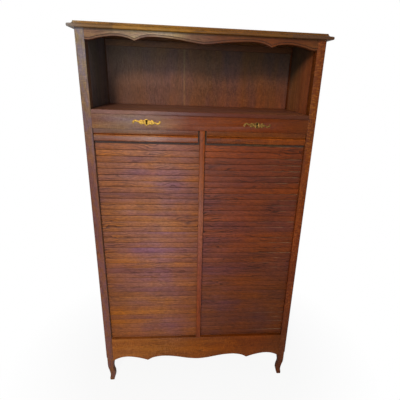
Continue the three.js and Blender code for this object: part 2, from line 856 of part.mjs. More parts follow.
function strikePlate() {
  const half_thickness = hook_thickness / 2 + hook_side_gap;
  const drop = pivot_z - lead_top;
  const nearest = Math.sqrt(hook_inner_radius ** 2 - (drop + strike_thickness) ** 2);
  const farthest = Math.sqrt(hook_outer_radius ** 2 - drop ** 2);
  const slot = {
    x: [bay_centre + nearest - strike_slot_gap, bay_centre + farthest + strike_slot_gap],
    y: [hook_plane - half_thickness, hook_plane + half_thickness],
    z: [lead_top - strike_thickness - cut_overrun, lead_top + cut_overrun],
  };
  return block(strike_range).subtract(block(slot));
}

function lockCase() {
  const half_thickness = hook_thickness / 2 + hook_side_gap;
  const reach = hook_outer_radius + hook_swing_gap;
  const hollow = {
    x: [bay_centre - reach, bay_centre + reach],
    y: [hook_plane - half_thickness, hook_plane + half_thickness],
    z: [lock_rail_bottom - cut_overrun, key_z + keyhole_rise + keyhole_radius],
  };
  const stud_y = [hook_plane - half_thickness - stud_radius, hook_plane + half_thickness + stud_radius];
  const stud = barAlongY(stud_radius, bay_centre, pivot_z, stud_y);
  const bore = keyhole([lock_front - cut_overrun, hook_plane]);
  return block(lock_case_range).subtract(block(hollow)).subtract(bore).add(stud);
}

// The hook bolt, drawn back: a boss on the stud, an arm, and a hook round the stud's centre.
function lockHook() {
  const y = [hook_plane - hook_thickness / 2, hook_plane + hook_thickness / 2];
  const end = hook_rest_degrees + hook_span_degrees;
  const hook = alongY(
    [
      ...arc(bay_centre, pivot_z, hook_outer_radius, hook_rest_degrees, end, round_steps),
      ...arc(bay_centre, pivot_z, hook_inner_radius, end, hook_rest_degrees, round_steps),
    ],
    y,
  );
  const arm_length = hook_inner_radius + hook_arm_width / 2;
  const arm = new THREE.BoxGeometry(arm_length, hook_thickness, hook_arm_width)
    .translate(arm_length / 2, 0, -hook_arm_width / 2)
    .rotateY(-THREE.MathUtils.degToRad(end))
    .translate(bay_centre, hook_plane, pivot_z);
  const boss = barAlongY(hook_boss_radius, bay_centre, pivot_z, y);
  const bore_y = [y[0] - cut_overrun, y[1] + cut_overrun];
  const bore = barAlongY(stud_radius + stud_clearance, bay_centre, pivot_z, bore_y);
  return hook.add(solidFrom(arm)).add(boss).subtract(bore);
}

// Both key plates are cast from one pattern, so the left one undoes the mirroring of its group.
function keyPlate(mirror) {
  const upper = key_plate_shares.map(([along, up]) => [
    along * key_plate_half_length * mirror,
    up * key_plate_half_height,
  ]);
  const lower = upper.map(([x, z]) => [-x, -z]);
  const outline = [...upper, ...lower].map(([x, z]) => [bay_centre + x, key_z + z]);
  const plate = alongY(outline, [-joint_gap - key_plate_thickness, -joint_gap]);
  return plate.subtract(keyhole([-key_plate_thickness - cut_overrun, cut_overrun]));
}

// Finishes

function wood(color, roughness) {
  return () => new THREE.MeshStandardMaterial({ color, roughness, metalness: 0 });
}

function metal(color, roughness) {
  return () => new THREE.MeshStandardMaterial({ color, roughness, metalness: 1 });
}

const finish = {
  case: wood(0x6b3a1f, 0.42),
  top: wood(0x7d4a20, 0.38),
  slats: wood(0x74402a, 0.5),
  inside: wood(0x5a3420, 0.6),
  canvas_tail: wood(0x6a3c28, 0.6),
  brass: metal(0xc9a24a, 0.35),
  iron: metal(0x5b5751, 0.5),
};

// The cabinet

function named(name, solid, material) {
  const mesh = new THREE.Mesh(geometryFrom(solid), material());
  mesh.name = name;
  return mesh;
}

function centrePieces() {
  const group = new THREE.Group();
  const overlap_top = niche_shelf_bottom + niche_shelf_thickness / 2;
  group.add(
    named("top_board", topBoard(), finish.top),
    named("front_top_rail", frontTopRail(), finish.case),
    named("lock_rail", lockRail(), finish.case),
    named("front_apron", frontApron(), finish.case),
    named("centre_stile", centreStile(), finish.case),
    named("centre_partition", centrePartition(), finish.inside),
    named("niche_shelf", nicheShelf(), finish.case),
    named("niche_back", backPanel([overlap_top + joint_gap, post_top - joint_gap]), finish.inside),
    named("lower_back", backPanel([bottom_z[0], overlap_top]), finish.inside),
    named("rear_top_rail", rearRail(rear_top_z), finish.inside),
    named("rear_bottom_rail", rearRail(rear_bottom_z), finish.inside),
    named("case_bottom", caseBottom(), finish.inside),
  );
  return group;
}

function shelvesAndCleats(side) {
  const group = new THREE.Group();
  for (let nth = 1; nth <= shelves_per_bay; nth += 1) {
    const level = new THREE.Group();
    level.position.z = shelfLevel(nth);
    const outer = [post_inner - joint_gap - cleat_width, post_inner - joint_gap];
    const inner = [centre_half + joint_gap, centre_half + joint_gap + cleat_width];
    level.add(
      named(`${side}_shelf_${nth}`, shelf(), finish.inside),
      named(`${side}_outer_cleat_${nth}`, cleat(outer), finish.inside),
      named(`${side}_inner_cleat_${nth}`, cleat(inner), finish.inside),
    );
    group.add(level);
  }
  return group;
}

// Everything that the cabinet has once on each side.
function sidePieces(side, mirror) {
  const group = new THREE.Group();
  group.scale.x = mirror;
  group.add(
    named(`${side}_front_post`, frontPost(), finish.case),
    named(`${side}_rear_post`, rearPost(), finish.case),
    named(`${side}_side_top_rail`, sideTopRail(), finish.case),
    named(`${side}_side_bottom_rail`, sideBottomRail(), finish.case),
    named(`${side}_side_panel`, block(side_panel_range), finish.case),
    named(`${side}_side_lining`, sideLining(), finish.inside),
    named(`${side}_bay_floor`, bayFloor(), finish.inside),
    named(`${side}_inner_back`, innerBack(), finish.inside),
    named(`${side}_lead_rail`, leadRail(), finish.case),
    named(`${side}_curtain`, curtain(), finish.slats),
    named(`${side}_curtain_tail`, curtainTail(), finish.canvas_tail),
    named(`${side}_strike_plate`, strikePlate(), finish.brass),
    named(`${side}_lock_case`, lockCase(), finish.iron),
    named(`${side}_lock_hook`, lockHook(), finish.iron),
    named(`${side}_key_plate`, keyPlate(mirror), finish.brass),
    shelvesAndCleats(side),
  );
  return group;
}

const cabinet = new THREE.Group();
cabinet.position.y = (nose_overhang - case_depth) / 2;
cabinet.add(centrePieces(), sidePieces("right", 1), sidePieces("left", -1));

export default cabinet;
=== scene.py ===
# %% [markdown]
# # A tambour door cabinet
# The cabinet has an open niche above two doors made of narrow slats. Each door slides down
# in grooves, round the bottom of the case and up again behind a false back.
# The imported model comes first, because each piece made here sits exactly where it says.

# %% Load the cabinet
import math

import bmesh
import bpy
from mathutils import Matrix, Vector


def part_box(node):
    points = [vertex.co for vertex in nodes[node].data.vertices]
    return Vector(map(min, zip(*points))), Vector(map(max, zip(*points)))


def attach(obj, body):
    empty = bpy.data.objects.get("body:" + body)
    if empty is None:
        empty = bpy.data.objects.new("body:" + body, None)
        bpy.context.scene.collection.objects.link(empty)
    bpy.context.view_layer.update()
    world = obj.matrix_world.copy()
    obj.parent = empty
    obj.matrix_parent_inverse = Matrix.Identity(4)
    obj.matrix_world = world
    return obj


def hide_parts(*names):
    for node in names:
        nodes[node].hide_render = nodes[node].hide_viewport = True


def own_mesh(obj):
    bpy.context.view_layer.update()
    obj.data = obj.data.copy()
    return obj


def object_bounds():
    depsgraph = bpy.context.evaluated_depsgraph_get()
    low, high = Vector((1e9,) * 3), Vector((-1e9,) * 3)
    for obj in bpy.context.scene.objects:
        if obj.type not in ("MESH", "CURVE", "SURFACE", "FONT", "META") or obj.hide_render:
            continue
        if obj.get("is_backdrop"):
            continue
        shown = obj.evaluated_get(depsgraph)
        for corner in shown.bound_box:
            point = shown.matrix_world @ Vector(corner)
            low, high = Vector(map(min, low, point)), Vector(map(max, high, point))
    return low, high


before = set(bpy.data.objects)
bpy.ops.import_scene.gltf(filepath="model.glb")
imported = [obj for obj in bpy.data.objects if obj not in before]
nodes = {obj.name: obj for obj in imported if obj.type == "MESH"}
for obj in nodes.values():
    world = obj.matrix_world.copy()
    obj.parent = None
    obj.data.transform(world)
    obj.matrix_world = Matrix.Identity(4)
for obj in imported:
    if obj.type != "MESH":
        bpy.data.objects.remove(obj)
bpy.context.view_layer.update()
scene = bpy.context.scene
scene.view_settings.view_transform = "Standard"

# %% [markdown]
# ## Camera
# A phone stood about one and a half metres in front of the cabinet, a little left of its middle
# and tilted down, so the uprights lean together towards the floor. The place and the turn come
# from matching the cabinet's corners. The sight lines are written as the camera's own axes,
# which leaves no doubt about the order of turns. A target constraint would lose the slight roll.

# %% Camera
camera_right = Vector((0.99574, -0.08438, 0.03721))
camera_forward = Vector((0.09215, 0.92619, -0.36562)).normalized()
camera_up = camera_right.cross(camera_forward).normalized()
camera_right = camera_forward.cross(camera_up)
camera_data = bpy.data.cameras.new("camera")
camera_data.sensor_width = 36
camera_data.lens = 31.51
camera_data.shift_x = -0.0435
camera_data.shift_y = 0.0455
camera = bpy.data.objects.new("camera", camera_data)
scene.collection.objects.link(camera)
axes = Matrix((camera_right, camera_up, -camera_forward)).transposed().to_4x4()
camera.matrix_world = Matrix.Translation((-0.0668, -1.5743, 1.4432)) @ axes
scene.camera = camera
print("camera looks along", [round(v, 3) for v in camera_forward])

# %% [markdown]
# ## Light
# The scalloped rail throws a soft wavy shadow on the back of the niche. It falls about 0.12 m
# over a depth of 0.36 m, so the warm main lamp stands about 18 degrees up and a little to the
# left. A broad cool lamp far in front fills the shadows. A tall lamp shows only as a gloss, like
# a window that is mirrored in the left-hand door. A sun would draw the shadows too hard.

# %% Lamps
def lamp(name, place, target, size, power, tint, tall=None):
    """An oval area lamp that looks at its target and that the camera doesn't see."""
    data = bpy.data.lights.new(name, "AREA")
    data.shape = "ELLIPSE"
    data.size = size
    data.size_y = tall or size
    data.energy = power
    data.color = tint
    made = bpy.data.objects.new(name, data)
    made.location = place
    made.rotation_euler = (Vector(target) - Vector(place)).to_track_quat("-Z", "Y").to_euler()
    made.visible_camera = False
    scene.collection.objects.link(made)
    return made


lamp("main_lamp", (-0.72, -2.85, 2.45), (0, 0, 0.95), 0.42, 53, (1.0, 0.85, 0.68))
lamp("fill_lamp", (-0.35, -4.2, 1.35), (0, 0, 1.0), 2.2, 72, (0.64, 0.87, 1.0))
window = lamp("window_lamp", (-0.36, -1.9, 0.95), (-0.3, 0, 0.95), 0.5, 26, (0.8, 0.9, 1.0), 1.8)
window.visible_diffuse = False

# %% [markdown]
# ## Short names for nodes
# Every finish below is a small net of nodes, and so is each shape that repeats. These helpers
# add one node each to the tree that is being drawn and give back what comes out of it, so a
# finish reads like a recipe.

# %% Node helpers
def draw_in(new_tree):
    """From here on, new nodes go into this tree, which starts empty."""
    global tree
    tree = new_tree
    tree.nodes.clear()


def node(kind, inputs=None, out=0, **settings):
    """Adds a node with its settings and inputs, and gives one of its outputs."""
    made = tree.nodes.new(kind)
    for name, value in settings.items():
        setattr(made, name, value)
    for key, value in (inputs or {}).items():
        if isinstance(value, bpy.types.NodeSocket):
            tree.links.new(value, made.inputs[key])
        else:
            made.inputs[key].default_value = value
    return made.outputs[out] if made.outputs else None


def maths(operation, *values):
    return node("ShaderNodeMath", dict(enumerate(values)), operation=operation)


def times(first, second):
    return maths("MULTIPLY", first, second)


def vectors(operation, *values):
    given = dict(enumerate(values))
    return node("ShaderNodeVectorMath", given, operation=operation)


def axis_of(vector, axis):
    return node("ShaderNodeSeparateXYZ", {"Vector": vector}, out=axis)


def attribute(name, output="Fac"):
    return node("ShaderNodeAttribute", attribute_name=name, out=output)


def mapped(place, scale=(1, 1, 1), turn=(0, 0, 0), move=(0, 0, 0)):
    given = {"Vector": place, "Location": move, "Rotation": turn, "Scale": scale}
    return node("ShaderNodeMapping", given)


def noise(place, scale, detail, rough=0.5, output="Fac"):
    given = {"Vector": place, "Scale": scale, "Detail": detail, "Roughness": rough}
    return node("ShaderNodeTexNoise", given, out=output)


def spread(value, first, last, low=0.0, high=1.0):
    """The value's share of the way from first to last, set out between low and high."""
    given = {"Value": value, "From Min": first, "From Max": last, "To Min": low, "To Max": high}
    return node("ShaderNodeMapRange", given)


def ramp(factor, *stops):
    """A row of tones: each stop is a place and a grey, or a place, red, green and blue."""
    made = node("ShaderNodeValToRGB", {"Fac": factor})
    elements = made.node.color_ramp.elements
    while len(elements) < len(stops):
        elements.new(0.5)
    for element, (place, *tone) in zip(elements, stops):
        element.position = place
        element.color = (*(tone if len(tone) == 3 else tone * 3), 1)
    return made


# %% Colours and materials
def mixed(factor, first, second, kind="MIX"):
    given = {0: factor, 6: first, 7: second}
    return node("ShaderNodeMix", given, data_type="RGBA", blend_type=kind, out=2)


def linear(red, green, blue):
    """A colour as a screen names it, turned into the light that it stands for."""
    parts = [v / 255 for v in (red, green, blue)]
    made = [p / 12.92 if p <= 0.04045 else ((p + 0.055) / 1.055) ** 2.4 for p in parts]
    return (*made, 1.0)


def material(name):
    made = bpy.data.materials.new(name)
    made.use_nodes = True
    draw_in(made.node_tree)
    return made


def surfaced(colour, roughness, height, strength, depth, more, sunk=False):
    """Ends a material: its colour, its roughness and a fine relief, sunk or raised."""
    relief = {"Height": height, "Strength": strength, "Distance": depth}
    relief = node("ShaderNodeBump", relief, invert=sunk)
    given = {"Base Color": colour, "Roughness": roughness, "Normal": relief, **more}
    shader = node("ShaderNodeBsdfPrincipled", given)
    node("ShaderNodeOutputMaterial", {"Surface": shader})


# %% [markdown]
# ## Backdrop and floor
# The backdrop is plain white. The world shows white to the camera, and to glossy and
# transmitted rays, and gives the wood only a low even light. The floor mixes a white glow with a
# plain matt surface, so it stays pale and still keeps the cabinet's shadow.

# %% Backdrop and floor
def placed(mesh):
    """An object in the scene with this mesh and its name."""
    made = bpy.data.objects.new(mesh.name, mesh)
    scene.collection.objects.link(made)
    return made


WHITE = (1, 1, 1, 1)
world = bpy.data.worlds.new("white_room")
scene.world = world
world.use_nodes = True
draw_in(world.node_tree)
room = node("ShaderNodeBackground", {"Color": (0.9, 0.95, 1.0, 1), "Strength": 0.26})
white = node("ShaderNodeBackground", {"Color": WHITE, "Strength": 1.0})
ray = node("ShaderNodeLightPath").node.outputs
seen = maths("MAXIMUM", ray["Is Camera Ray"], ray["Is Glossy Ray"])
seen = maths("MAXIMUM", seen, ray["Is Transmission Ray"])
backdrop = {0: seen, 1: room, 2: white}
backdrop = node("ShaderNodeMixShader", backdrop)
node("ShaderNodeOutputWorld", {"Surface": backdrop})

floor_paint = material("pale_floor")
matt = node("ShaderNodeBsdfDiffuse", {"Color": (0.86, 0.86, 0.86, 1)})
glow = node("ShaderNodeEmission", {"Color": WHITE, "Strength": 1.0})
ray = node("ShaderNodeLightPath").node.outputs
spot = node("ShaderNodeTexCoord", out="Object")
away = node("ShaderNodeVectorMath", {0: spot}, operation="LENGTH", out="Value")
glowing = times(ray["Is Camera Ray"], ramp(away, (0.55, 0.9), (1.0, 1.0)))
paint = {0: glowing, 1: matt, 2: glow}
paint = node("ShaderNodeMixShader", paint)
node("ShaderNodeOutputMaterial", {"Surface": paint})
floor_mesh = bpy.data.meshes.new("floor")
HALF_FLOOR = 6
corners = [(x * HALF_FLOOR, y * HALF_FLOOR, 0) for x, y in ((-1, -1), (1, -1), (1, 1), (-1, 1))]
floor_mesh.from_pydata(corners, [], [(0, 1, 2, 3)])
floor_mesh.materials.append(floor_paint)
floor = placed(floor_mesh)
floor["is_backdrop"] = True
print("floor", 2 * HALF_FLOOR, "m square")

# %% [markdown]
# ## Oak
# The whole cabinet is stained and varnished oak. A plank is a slice through growth rings,
# so the figure is made the same way: rings round a slightly tilted pith, drifting a little, cut by
# the piece's surface. Short dark pores follow the grain. Painted stripes would look alike on
# every face; rings show long lines on one face and end grain on the other.

# %% Oak figure
GRAIN_TURN = {"x": (0, 0, 0), "y": (0, 0, math.pi / 2), "z": (0, math.pi / 2, 0)}
LONG_WAY = {"x": (3, 13, 13), "y": (13, 3, 13), "z": (13, 13, 3)}
GOLDEN, LILAC = (1.16, 1.06, 0.5, 1), (0.88, 0.93, 1.5, 1)


def rings_and_pores(turned, ring_gap, pith, stretch):
    """Growth rings round a tilted pith, drifting a little, and short pores along the grain."""
    squeezed = mapped(turned, (stretch, 1, 1), (0, 0.02, 0.035), pith)
    moved = squeezed
    for scale, detail, swing in ((14, 2, 0.04), (42, 1, 0.034)):
        shaken = noise(squeezed, scale, detail, output="Color")
        shaken = vectors("SUBTRACT", shaken, (0.5, 0.5, 0.5))
        moved = vectors("MULTIPLY_ADD", shaken, (0.0, swing, swing), moved)
    wave = {"Vector": moved, "Scale": 2 * math.pi / (20 * ring_gap), "Distortion": 2.2}
    wave.update({"Detail": 3, "Detail Scale": 0.8, "Detail Roughness": 0.6})
    kinds = {"wave_type": "RINGS", "rings_direction": "X", "wave_profile": "SAW"}
    rings = node("ShaderNodeTexWave", wave, **kinds, out="Fac")
    pores = noise(mapped(turned, (60, 1500, 1500)), 1, 1)
    return squeezed, rings, ramp(pores, (0.36, 1), (0.47, 0))


def hue_drift(place, colour, scale, amount):
    """Broad patches leaning to gold or to lilac, as the sun and old varnish leave them."""
    patch = noise(mapped(place, scale), 1, 3, 0.55)
    lean = mixed(ramp(patch, (0.4, 0), (0.6, 1)), GOLDEN, LILAC)
    return mixed(amount, colour, lean, "MULTIPLY")


def mottled(turned, colour, amount):
    """Small soft changes of tone along the grain."""
    spots = noise(mapped(turned, (75, 190, 190)), 1, 2)
    tone = ramp(spots, (0.3, 1 - amount), (0.7, 1 + amount))
    return mixed(1.0, colour, tone, "MULTIPLY")


def ray_flecks(turned, place, colour, amount, tone):
    """Short bright dashes across the grain, where the saw laid the rays open."""
    short = noise(mapped(turned, (430, 75, 75)), 1, 2)
    short = ramp(short, (0.5, 0), (0.66, amount))
    patch = ramp(noise(place, 10, 2), (0.36, 0.25), (0.6, 1))
    return mixed(times(short, patch), colour, linear(*tone))


# %% [markdown]
# ## What slats add
# Each slat carries its own tone, its board and its place at rest as numbers on its points. Dust
# and painted shade darken the joint under each slat, and a painted highlight lights a few upper
# edges beside the right post. Joints and figure show less towards the foot.

# %% Slat marks
# the joint colour is dust with painted shade; the edge colour is a painted highlight
JOINT_DUST_AND_SHADE, EDGE_GLINT, RAY_MARK = linear(26, 14, 9), linear(158, 124, 92), linear(78, 42, 40)
LOWER_JOINT, UPPER_JOINT = (-1.0, 0.9, 0.96, 0.9), (1.0, 0.99, 1.04, 0.36)


def slat_place():
    """Where a slat's wood lay in its own board, which sets it apart from the next board."""
    rest, board = (attribute(name, "Vector") for name in ("rest_place", "board"))
    return vectors("ADD", rest, board)


def up_the_door(low_share):
    """Joints and figure stand out less towards the foot of a door."""
    height = axis_of(attribute("rest_place", "Vector"), "Z")
    return ramp(height, (0.4, low_share), (0.75, 1))


def slat_marks(place, colour):
    """Slanting ray marks on a few slats, dust and painted shade in the joints, painted edge glints.
    """
    strip, across = attribute("strip"), attribute("across")
    rest_x = axis_of(attribute("rest_place", "Vector"), "X")
    ticks = {"Vector": place, "Scale": 100, "Distortion": 2.0, "Detail": 1}
    ticks = node("ShaderNodeTexWave", ticks, bands_direction="DIAGONAL", out="Fac")
    chosen = ramp(strip, (0.74, 0), (0.78, 0.34))
    ticks = times(ramp(ticks, (0.45, 0), (0.8, 1)), chosen)
    colour = mixed(ticks, colour, RAY_MARK)
    uneven = noise(place, 24, 2)
    # dust and painted shade in each joint, less on the right door and towards the foot
    joint_darkening = times(ramp(rest_x, (0.0, 1), (0.05, 0.55)), up_the_door(0.66))
    for way, first, last, share in (LOWER_JOINT, UPPER_JOINT):
        reach = maths("MULTIPLY_ADD", uneven, 0.05, times(across, way))
        dust_and_shade = times(ramp(reach, (first, 0), (last, share)), joint_darkening)
        colour = mixed(dust_and_shade, colour, JOINT_DUST_AND_SHADE)
    # painted highlight where light glances on the upper edges of some slats beside the right post
    beside = ramp(rest_x, (0.22, 0), (0.38, 1))
    rubbed = maths("MULTIPLY_ADD", strip, 0.5, uneven)
    rubbed = times(beside, ramp(rubbed, (0.74, 0), (0.98, 0.5)))
    edge = ramp(across, (0.78, 0), (0.86, 1), (0.92, 1), (0.98, 0))
    return mixed(times(rubbed, edge), colour, EDGE_GLINT)


# %% [markdown]
# ## One recipe for every board
# A board's colour is built up as a polisher would see it: two stains that run in streaks, patches
# of gold and lilac, rays, then the dark rings and pores, which also sink a little. The numbers
# set how bold the figure is, how matt the varnish, and which way the grain runs.

# %% The oak recipe
def oak(name, tones, grain="x", ring_gap=0.005, pith=(0, 0.07, 0.02), rough=(0.34, 0.52),
        shine=0.08, contrast=0.6, slats=False, tints=(), flecks=0.0, relief=0.35, drift=0.55,
        mottle=0.12, stretch=0.2, patches=None, ray_tone=(176, 104, 48)):
    made = material(name)
    warm, cool, dark = (linear(*tone) for tone in tones)
    place = slat_place() if slats else node("ShaderNodeTexCoord", out="Object")
    turned = mapped(place, turn=GRAIN_TURN[grain])
    squeezed, rings, pores = rings_and_pores(turned, ring_gap, pith, stretch)
    streaks = noise(mapped(squeezed, (0.6, 1, 1)), 26, 4, 0.62)
    share = ramp(streaks, (0.36, 0), (0.64, 1))
    if slats:
        share = mixed(0.5, share, attribute("strip"))
    colour = mixed(share, warm, cool)
    colour = hue_drift(place, colour, patches or LONG_WAY[grain], drift)
    here = attribute("rest_place", "Vector") if slats else place
    if slats:
        colour = hue_drift(here, colour, (6, 6, 5), 0.5)
    colour = mottled(turned, colour, mottle)
    if flecks:
        colour = ray_flecks(turned, place, colour, flecks, ray_tone)
    for tint in tints:
        colour = tint(here, colour)
    line = ramp(rings, (0.0, 0), (0.55, 0.12), (0.86, 0.8), (1, 1))
    faint = (0.12 if slats else 0.35) * contrast
    bold = ramp(noise(place, 8, 1), (0.4, faint), (0.62, contrast))
    if slats:
        bold = times(bold, up_the_door(0.5))
    colour = mixed(times(line, bold), colour, dark)
    colour = mixed(times(pores, 0.5), colour, dark)
    if slats:
        colour = slat_marks(place, colour)
    roughness = spread(noise(place, 11, 4), 0.3, 0.7, *rough)
    height = maths("MULTIPLY_ADD", line, 0.5, pores)
    surfaced(colour, roughness, height, relief, 0.00012, {"Specular IOR Level": shine}, True)
    return made


# %% [markdown]
# ## Stains and painted light
# The oak differs from place to place: the left side is paler, the top's varnish shows golden, the
# niche is brown. The tints below hold that, and painted light as well: sheen, glare, highlights,
# shade and shadow. Each tint here is a few tones set out along one axis of the cabinet.
# Several tints can lie over each other, and some keep to the front faces. Their numbers were set
# band by band, until a render's average colour in each band agreed with the photograph's. So they
# hold its light and its veil too: where blue goes up thirtyfold, that is glare and no stain.

# %% Stains and painted light
WIDE, POST_HEIGHT = (-0.42, 0.42), (0, 1.6)
CASE_TONES = ((114, 55, 20), (92, 40, 17), (44, 20, 10))
INSIDE_TONES = ((104, 58, 32), (82, 48, 30), (50, 28, 18))


def stain_and_light(axis, span, *stops):
    """A tint that changes along one axis: (place, red, green, blue) in hundredths."""
    def tint(place, colour):
        share = spread(axis_of(place, axis), *span)
        tones = ramp(share, *([part / 100 for part in stop] for stop in stops))
        return mixed(1.0, colour, tones, "MULTIPLY")
    return tint


# %% Tints over tints
def plain(place, colour):
    """No tint at all."""
    return colour


def painted(*tone):
    """One flat colour."""
    return lambda place, colour: linear(*tone)


def together(*tints):
    """Several tints, one over the other."""
    def tint(place, colour):
        for each in tints:
            colour = each(place, colour)
        return colour
    return tint


def between(share, first, second):
    """One tint that turns into another, by a share that is found at each place."""
    def tint(place, colour):
        tones = first(place, colour), second(place, colour)
        return mixed(share(place), *tones)
    return tint


def along(axis, first, last, high=1.0):
    """A share that grows along one axis, from none at first to its most at last."""
    return lambda place: spread(axis_of(place, axis), first, last, 0.0, high)


# %% Where the tints lie
def on_front(tint, full=-0.1772, none=-0.1762):
    """A tint on the front faces alone; here it carries painted sheen, highlights and shade."""
    return between(along("Y", none, full), plain, tint)


def patchy(place, colour):
    """Patches where old wax has gone cloudy, between golden ones where it has rubbed off."""
    return hue_drift(place, colour, (75, 75, 22), 0.6)


def on_nose_ends(place):
    """The two ends of the top's front nose, which are browner than its middle."""
    far = maths("ABSOLUTE", axis_of(place, "X"))
    nose = maths("LESS_THAN", axis_of(place, "Y"), -0.184)
    return times(maths("GREATER_THAN", far, 0.315), nose)


def on_shelf_edge(place):
    """The shelf's front edge."""
    return maths("LESS_THAN", axis_of(place, "Y"), -0.1772)


def near_joint(place):
    """Two veneers meet on the niche back in a joint that has stayed golden."""
    off = maths("ABSOLUTE", maths("ADD", axis_of(place, "X"), 0.072))
    return ramp(off, (0.001, 0.5), (0.006, 0))


def in_groove(place):
    """The line that is routed above the rail's edge, which is painted dark as its shade."""
    depth = spread(axis_of(place, "Y"), -0.1781, -0.1741)
    return ramp(depth, (0.04, 0), (0.14, 0.85), (0.6, 0.85), (1, 0))


def rail_shadow_on_lining(place, colour):
    """Painted shadow of the top rail on the top of the lining, reaching lower the further back it
    lies.
    """
    slant = maths("MULTIPLY_ADD", axis_of(place, "Y"), 0.4, axis_of(place, "Z"))
    tone = ramp(spread(slant, 1.465, 1.53), (0, 1), (1, 0.3, 0.46, 0.6))
    return mixed(1.0, colour, tone, "MULTIPLY")


# painted sheen: paler and greyer towards the left, where the light from the left mirrors in the
# varnish
left_sheen = between(along("X", 0.02, -0.45, 0.5), plain, painted(132, 94, 76))
# painted shade in the routed line
groove_shade = between(in_groove, plain, painted(36, 20, 14))
# painted shade: the bead under the routed line is darker than the rail, most where the rail's
# painted sheen is strongest
bead_less_sheen = between(lambda place: attribute("bead"), plain, stain_and_light(
    "X", WIDE, (0, 80, 70, 70), (25, 52, 42, 46), (42, 62, 54, 50), (60, 92, 90, 90)))
print("stains run over", WIDE, "m")

# %% [markdown]
# ## Finishes of the case
# Posts, rails and panels are one oak in three grain directions. The posts have small cloudy
# patches of wax. The case is paler towards the left under a painted sheen; the front top rail,
# lock rail, apron, stile and left post carry painted sheen and glare on the left, and the top's
# golden varnish has a painted sheen on its left. Inside, the wood was never polished and is matt.

# %% Finishes of the case
CASE = {"flecks": 0.35, "ring_gap": 0.0065, "tints": [left_sheen]}
POST = {"pith": (0, 0.05, 0.03), "patches": (40, 40, 6), "flecks": 0.55, "ring_gap": 0.0065}
MATT = {"rough": (0.5, 0.7)}
browner_ends = between(on_nose_ends, plain, painted(84, 54, 34))
level_oak = oak("case_oak_level_grain", CASE_TONES, **CASE)
upright_oak = oak("case_oak_upright_grain", CASE_TONES, "z", pith=(0, 0.05, 0.03), **CASE)
side_oak = oak("case_oak_side_grain", CASE_TONES, "y", **CASE)
left_post_oak = oak("left_post_oak", CASE_TONES, "z", **POST, tints=[
    left_sheen,
    # painted sheen: greyer and bluer towards the top of the front face
    on_front(stain_and_light(
        "Z", POST_HEIGHT, (0, 93, 85, 115), (15, 97, 96, 120), (32, 108, 105, 135),
        (50, 88, 80, 105), (67, 98, 91, 100), (78, 83, 110, 170), (86, 105, 155, 190),
        (95, 114, 220, 340))),
    patchy,
    stain_and_light("X", (-0.4200, -0.4186), (0, 100, 100, 100), (100, 88, 120, 145))])
right_post_oak = oak("right_post_oak", CASE_TONES, "z", **POST, tints=[stain_and_light(
    "Z", POST_HEIGHT, (0, 68, 66, 90), (15, 74, 77, 110), (32, 96, 79, 82), (50, 97, 75, 55),
    (67, 116, 105, 60), (85, 110, 113, 58), (95, 90, 86, 68))])
top_rail_oak = oak("top_rail_oak", CASE_TONES, flecks=0.1, ring_gap=0.0065, tints=[
    # painted glare and sheen on the left half of the front
    on_front(stain_and_light(
        "X", WIDE, (5, 145, 310, 590), (20, 250, 740, 1460), (31, 300, 990, 3300),
        (44, 104, 230, 840), (56, 79, 90, 70), (69, 74, 88, 62), (80, 84, 88, 62),
        (100, 73, 95, 84))),
    bead_less_sheen, groove_shade])
top_oak = oak("golden_top_oak", ((116, 74, 30), (88, 54, 24), (50, 29, 15)), flecks=0.2, tints=[
    browner_ends,
    # painted sheen and highlight, strongest at the left end of the nose
    on_front(stain_and_light(
        "X", (-0.47, 0.47), (0, 260, 560, 1200), (3, 240, 360, 550), (6, 230, 280, 260),
        (15, 220, 250, 170), (24, 175, 210, 170), (35, 140, 170, 120), (50, 140, 142, 90),
        (68, 88, 85, 85), (83, 108, 115, 110), (100, 100, 100, 100)), -0.181, -0.178)])
# painted light and sheen: lighter and bluer on the left, darker to the right
apron_oak = oak("apron_oak", ((140, 76, 24), (112, 56, 20), (62, 30, 13)), flecks=0.5,
                ring_gap=0.0065, tints=[stain_and_light(
    "X", WIDE, (0, 141, 152, 165), (20, 136, 162, 240), (32, 101, 113, 180), (50, 103, 94, 75),
    (69, 86, 66, 30), (85, 74, 52, 34), (100, 50, 42, 42))])
# painted glare and sheen on the left, darker to the right
lock_rail_oak = oak("lock_rail_oak", CASE_TONES, flecks=0.12, contrast=0.4, tints=[stain_and_light(
    "X", WIDE, (0, 128, 260, 740), (17, 130, 330, 1140), (30, 168, 370, 960), (37, 145, 210, 360),
    (44, 110, 84, 10), (60, 97, 78, 10), (80, 85, 60, 12), (100, 83, 86, 80))])
# painted sheen, bluer at middle height
stile_oak = oak("stile_oak", ((146, 72, 30), (118, 56, 28), (70, 34, 19)), "z", flecks=0.15,
                tints=[stain_and_light(
    "Z", (0.258, 1.257), (0, 116, 103, 75), (20, 100, 86, 98), (35, 93, 98, 210),
    (50, 99, 125, 400), (65, 108, 150, 340), (80, 100, 108, 90), (93, 80, 66, 15))])
inside_level = oak("inside_oak_level_grain", INSIDE_TONES, **MATT)
inside_side = oak("inside_oak_side_grain", INSIDE_TONES, "y", **MATT)
inside_upright = oak("inside_oak_upright_grain", INSIDE_TONES, "z", **MATT)
# painted light: lighter and bluer on the left
rear_rail_oak = oak("rear_rail_oak", INSIDE_TONES, **MATT, tints=[stain_and_light(
    "X", WIDE, (0, 150, 210, 260), (30, 110, 140, 150), (50, 100, 100, 100), (100, 75, 70, 65))])
print("case finishes made,", len(bpy.data.materials), "materials so far")
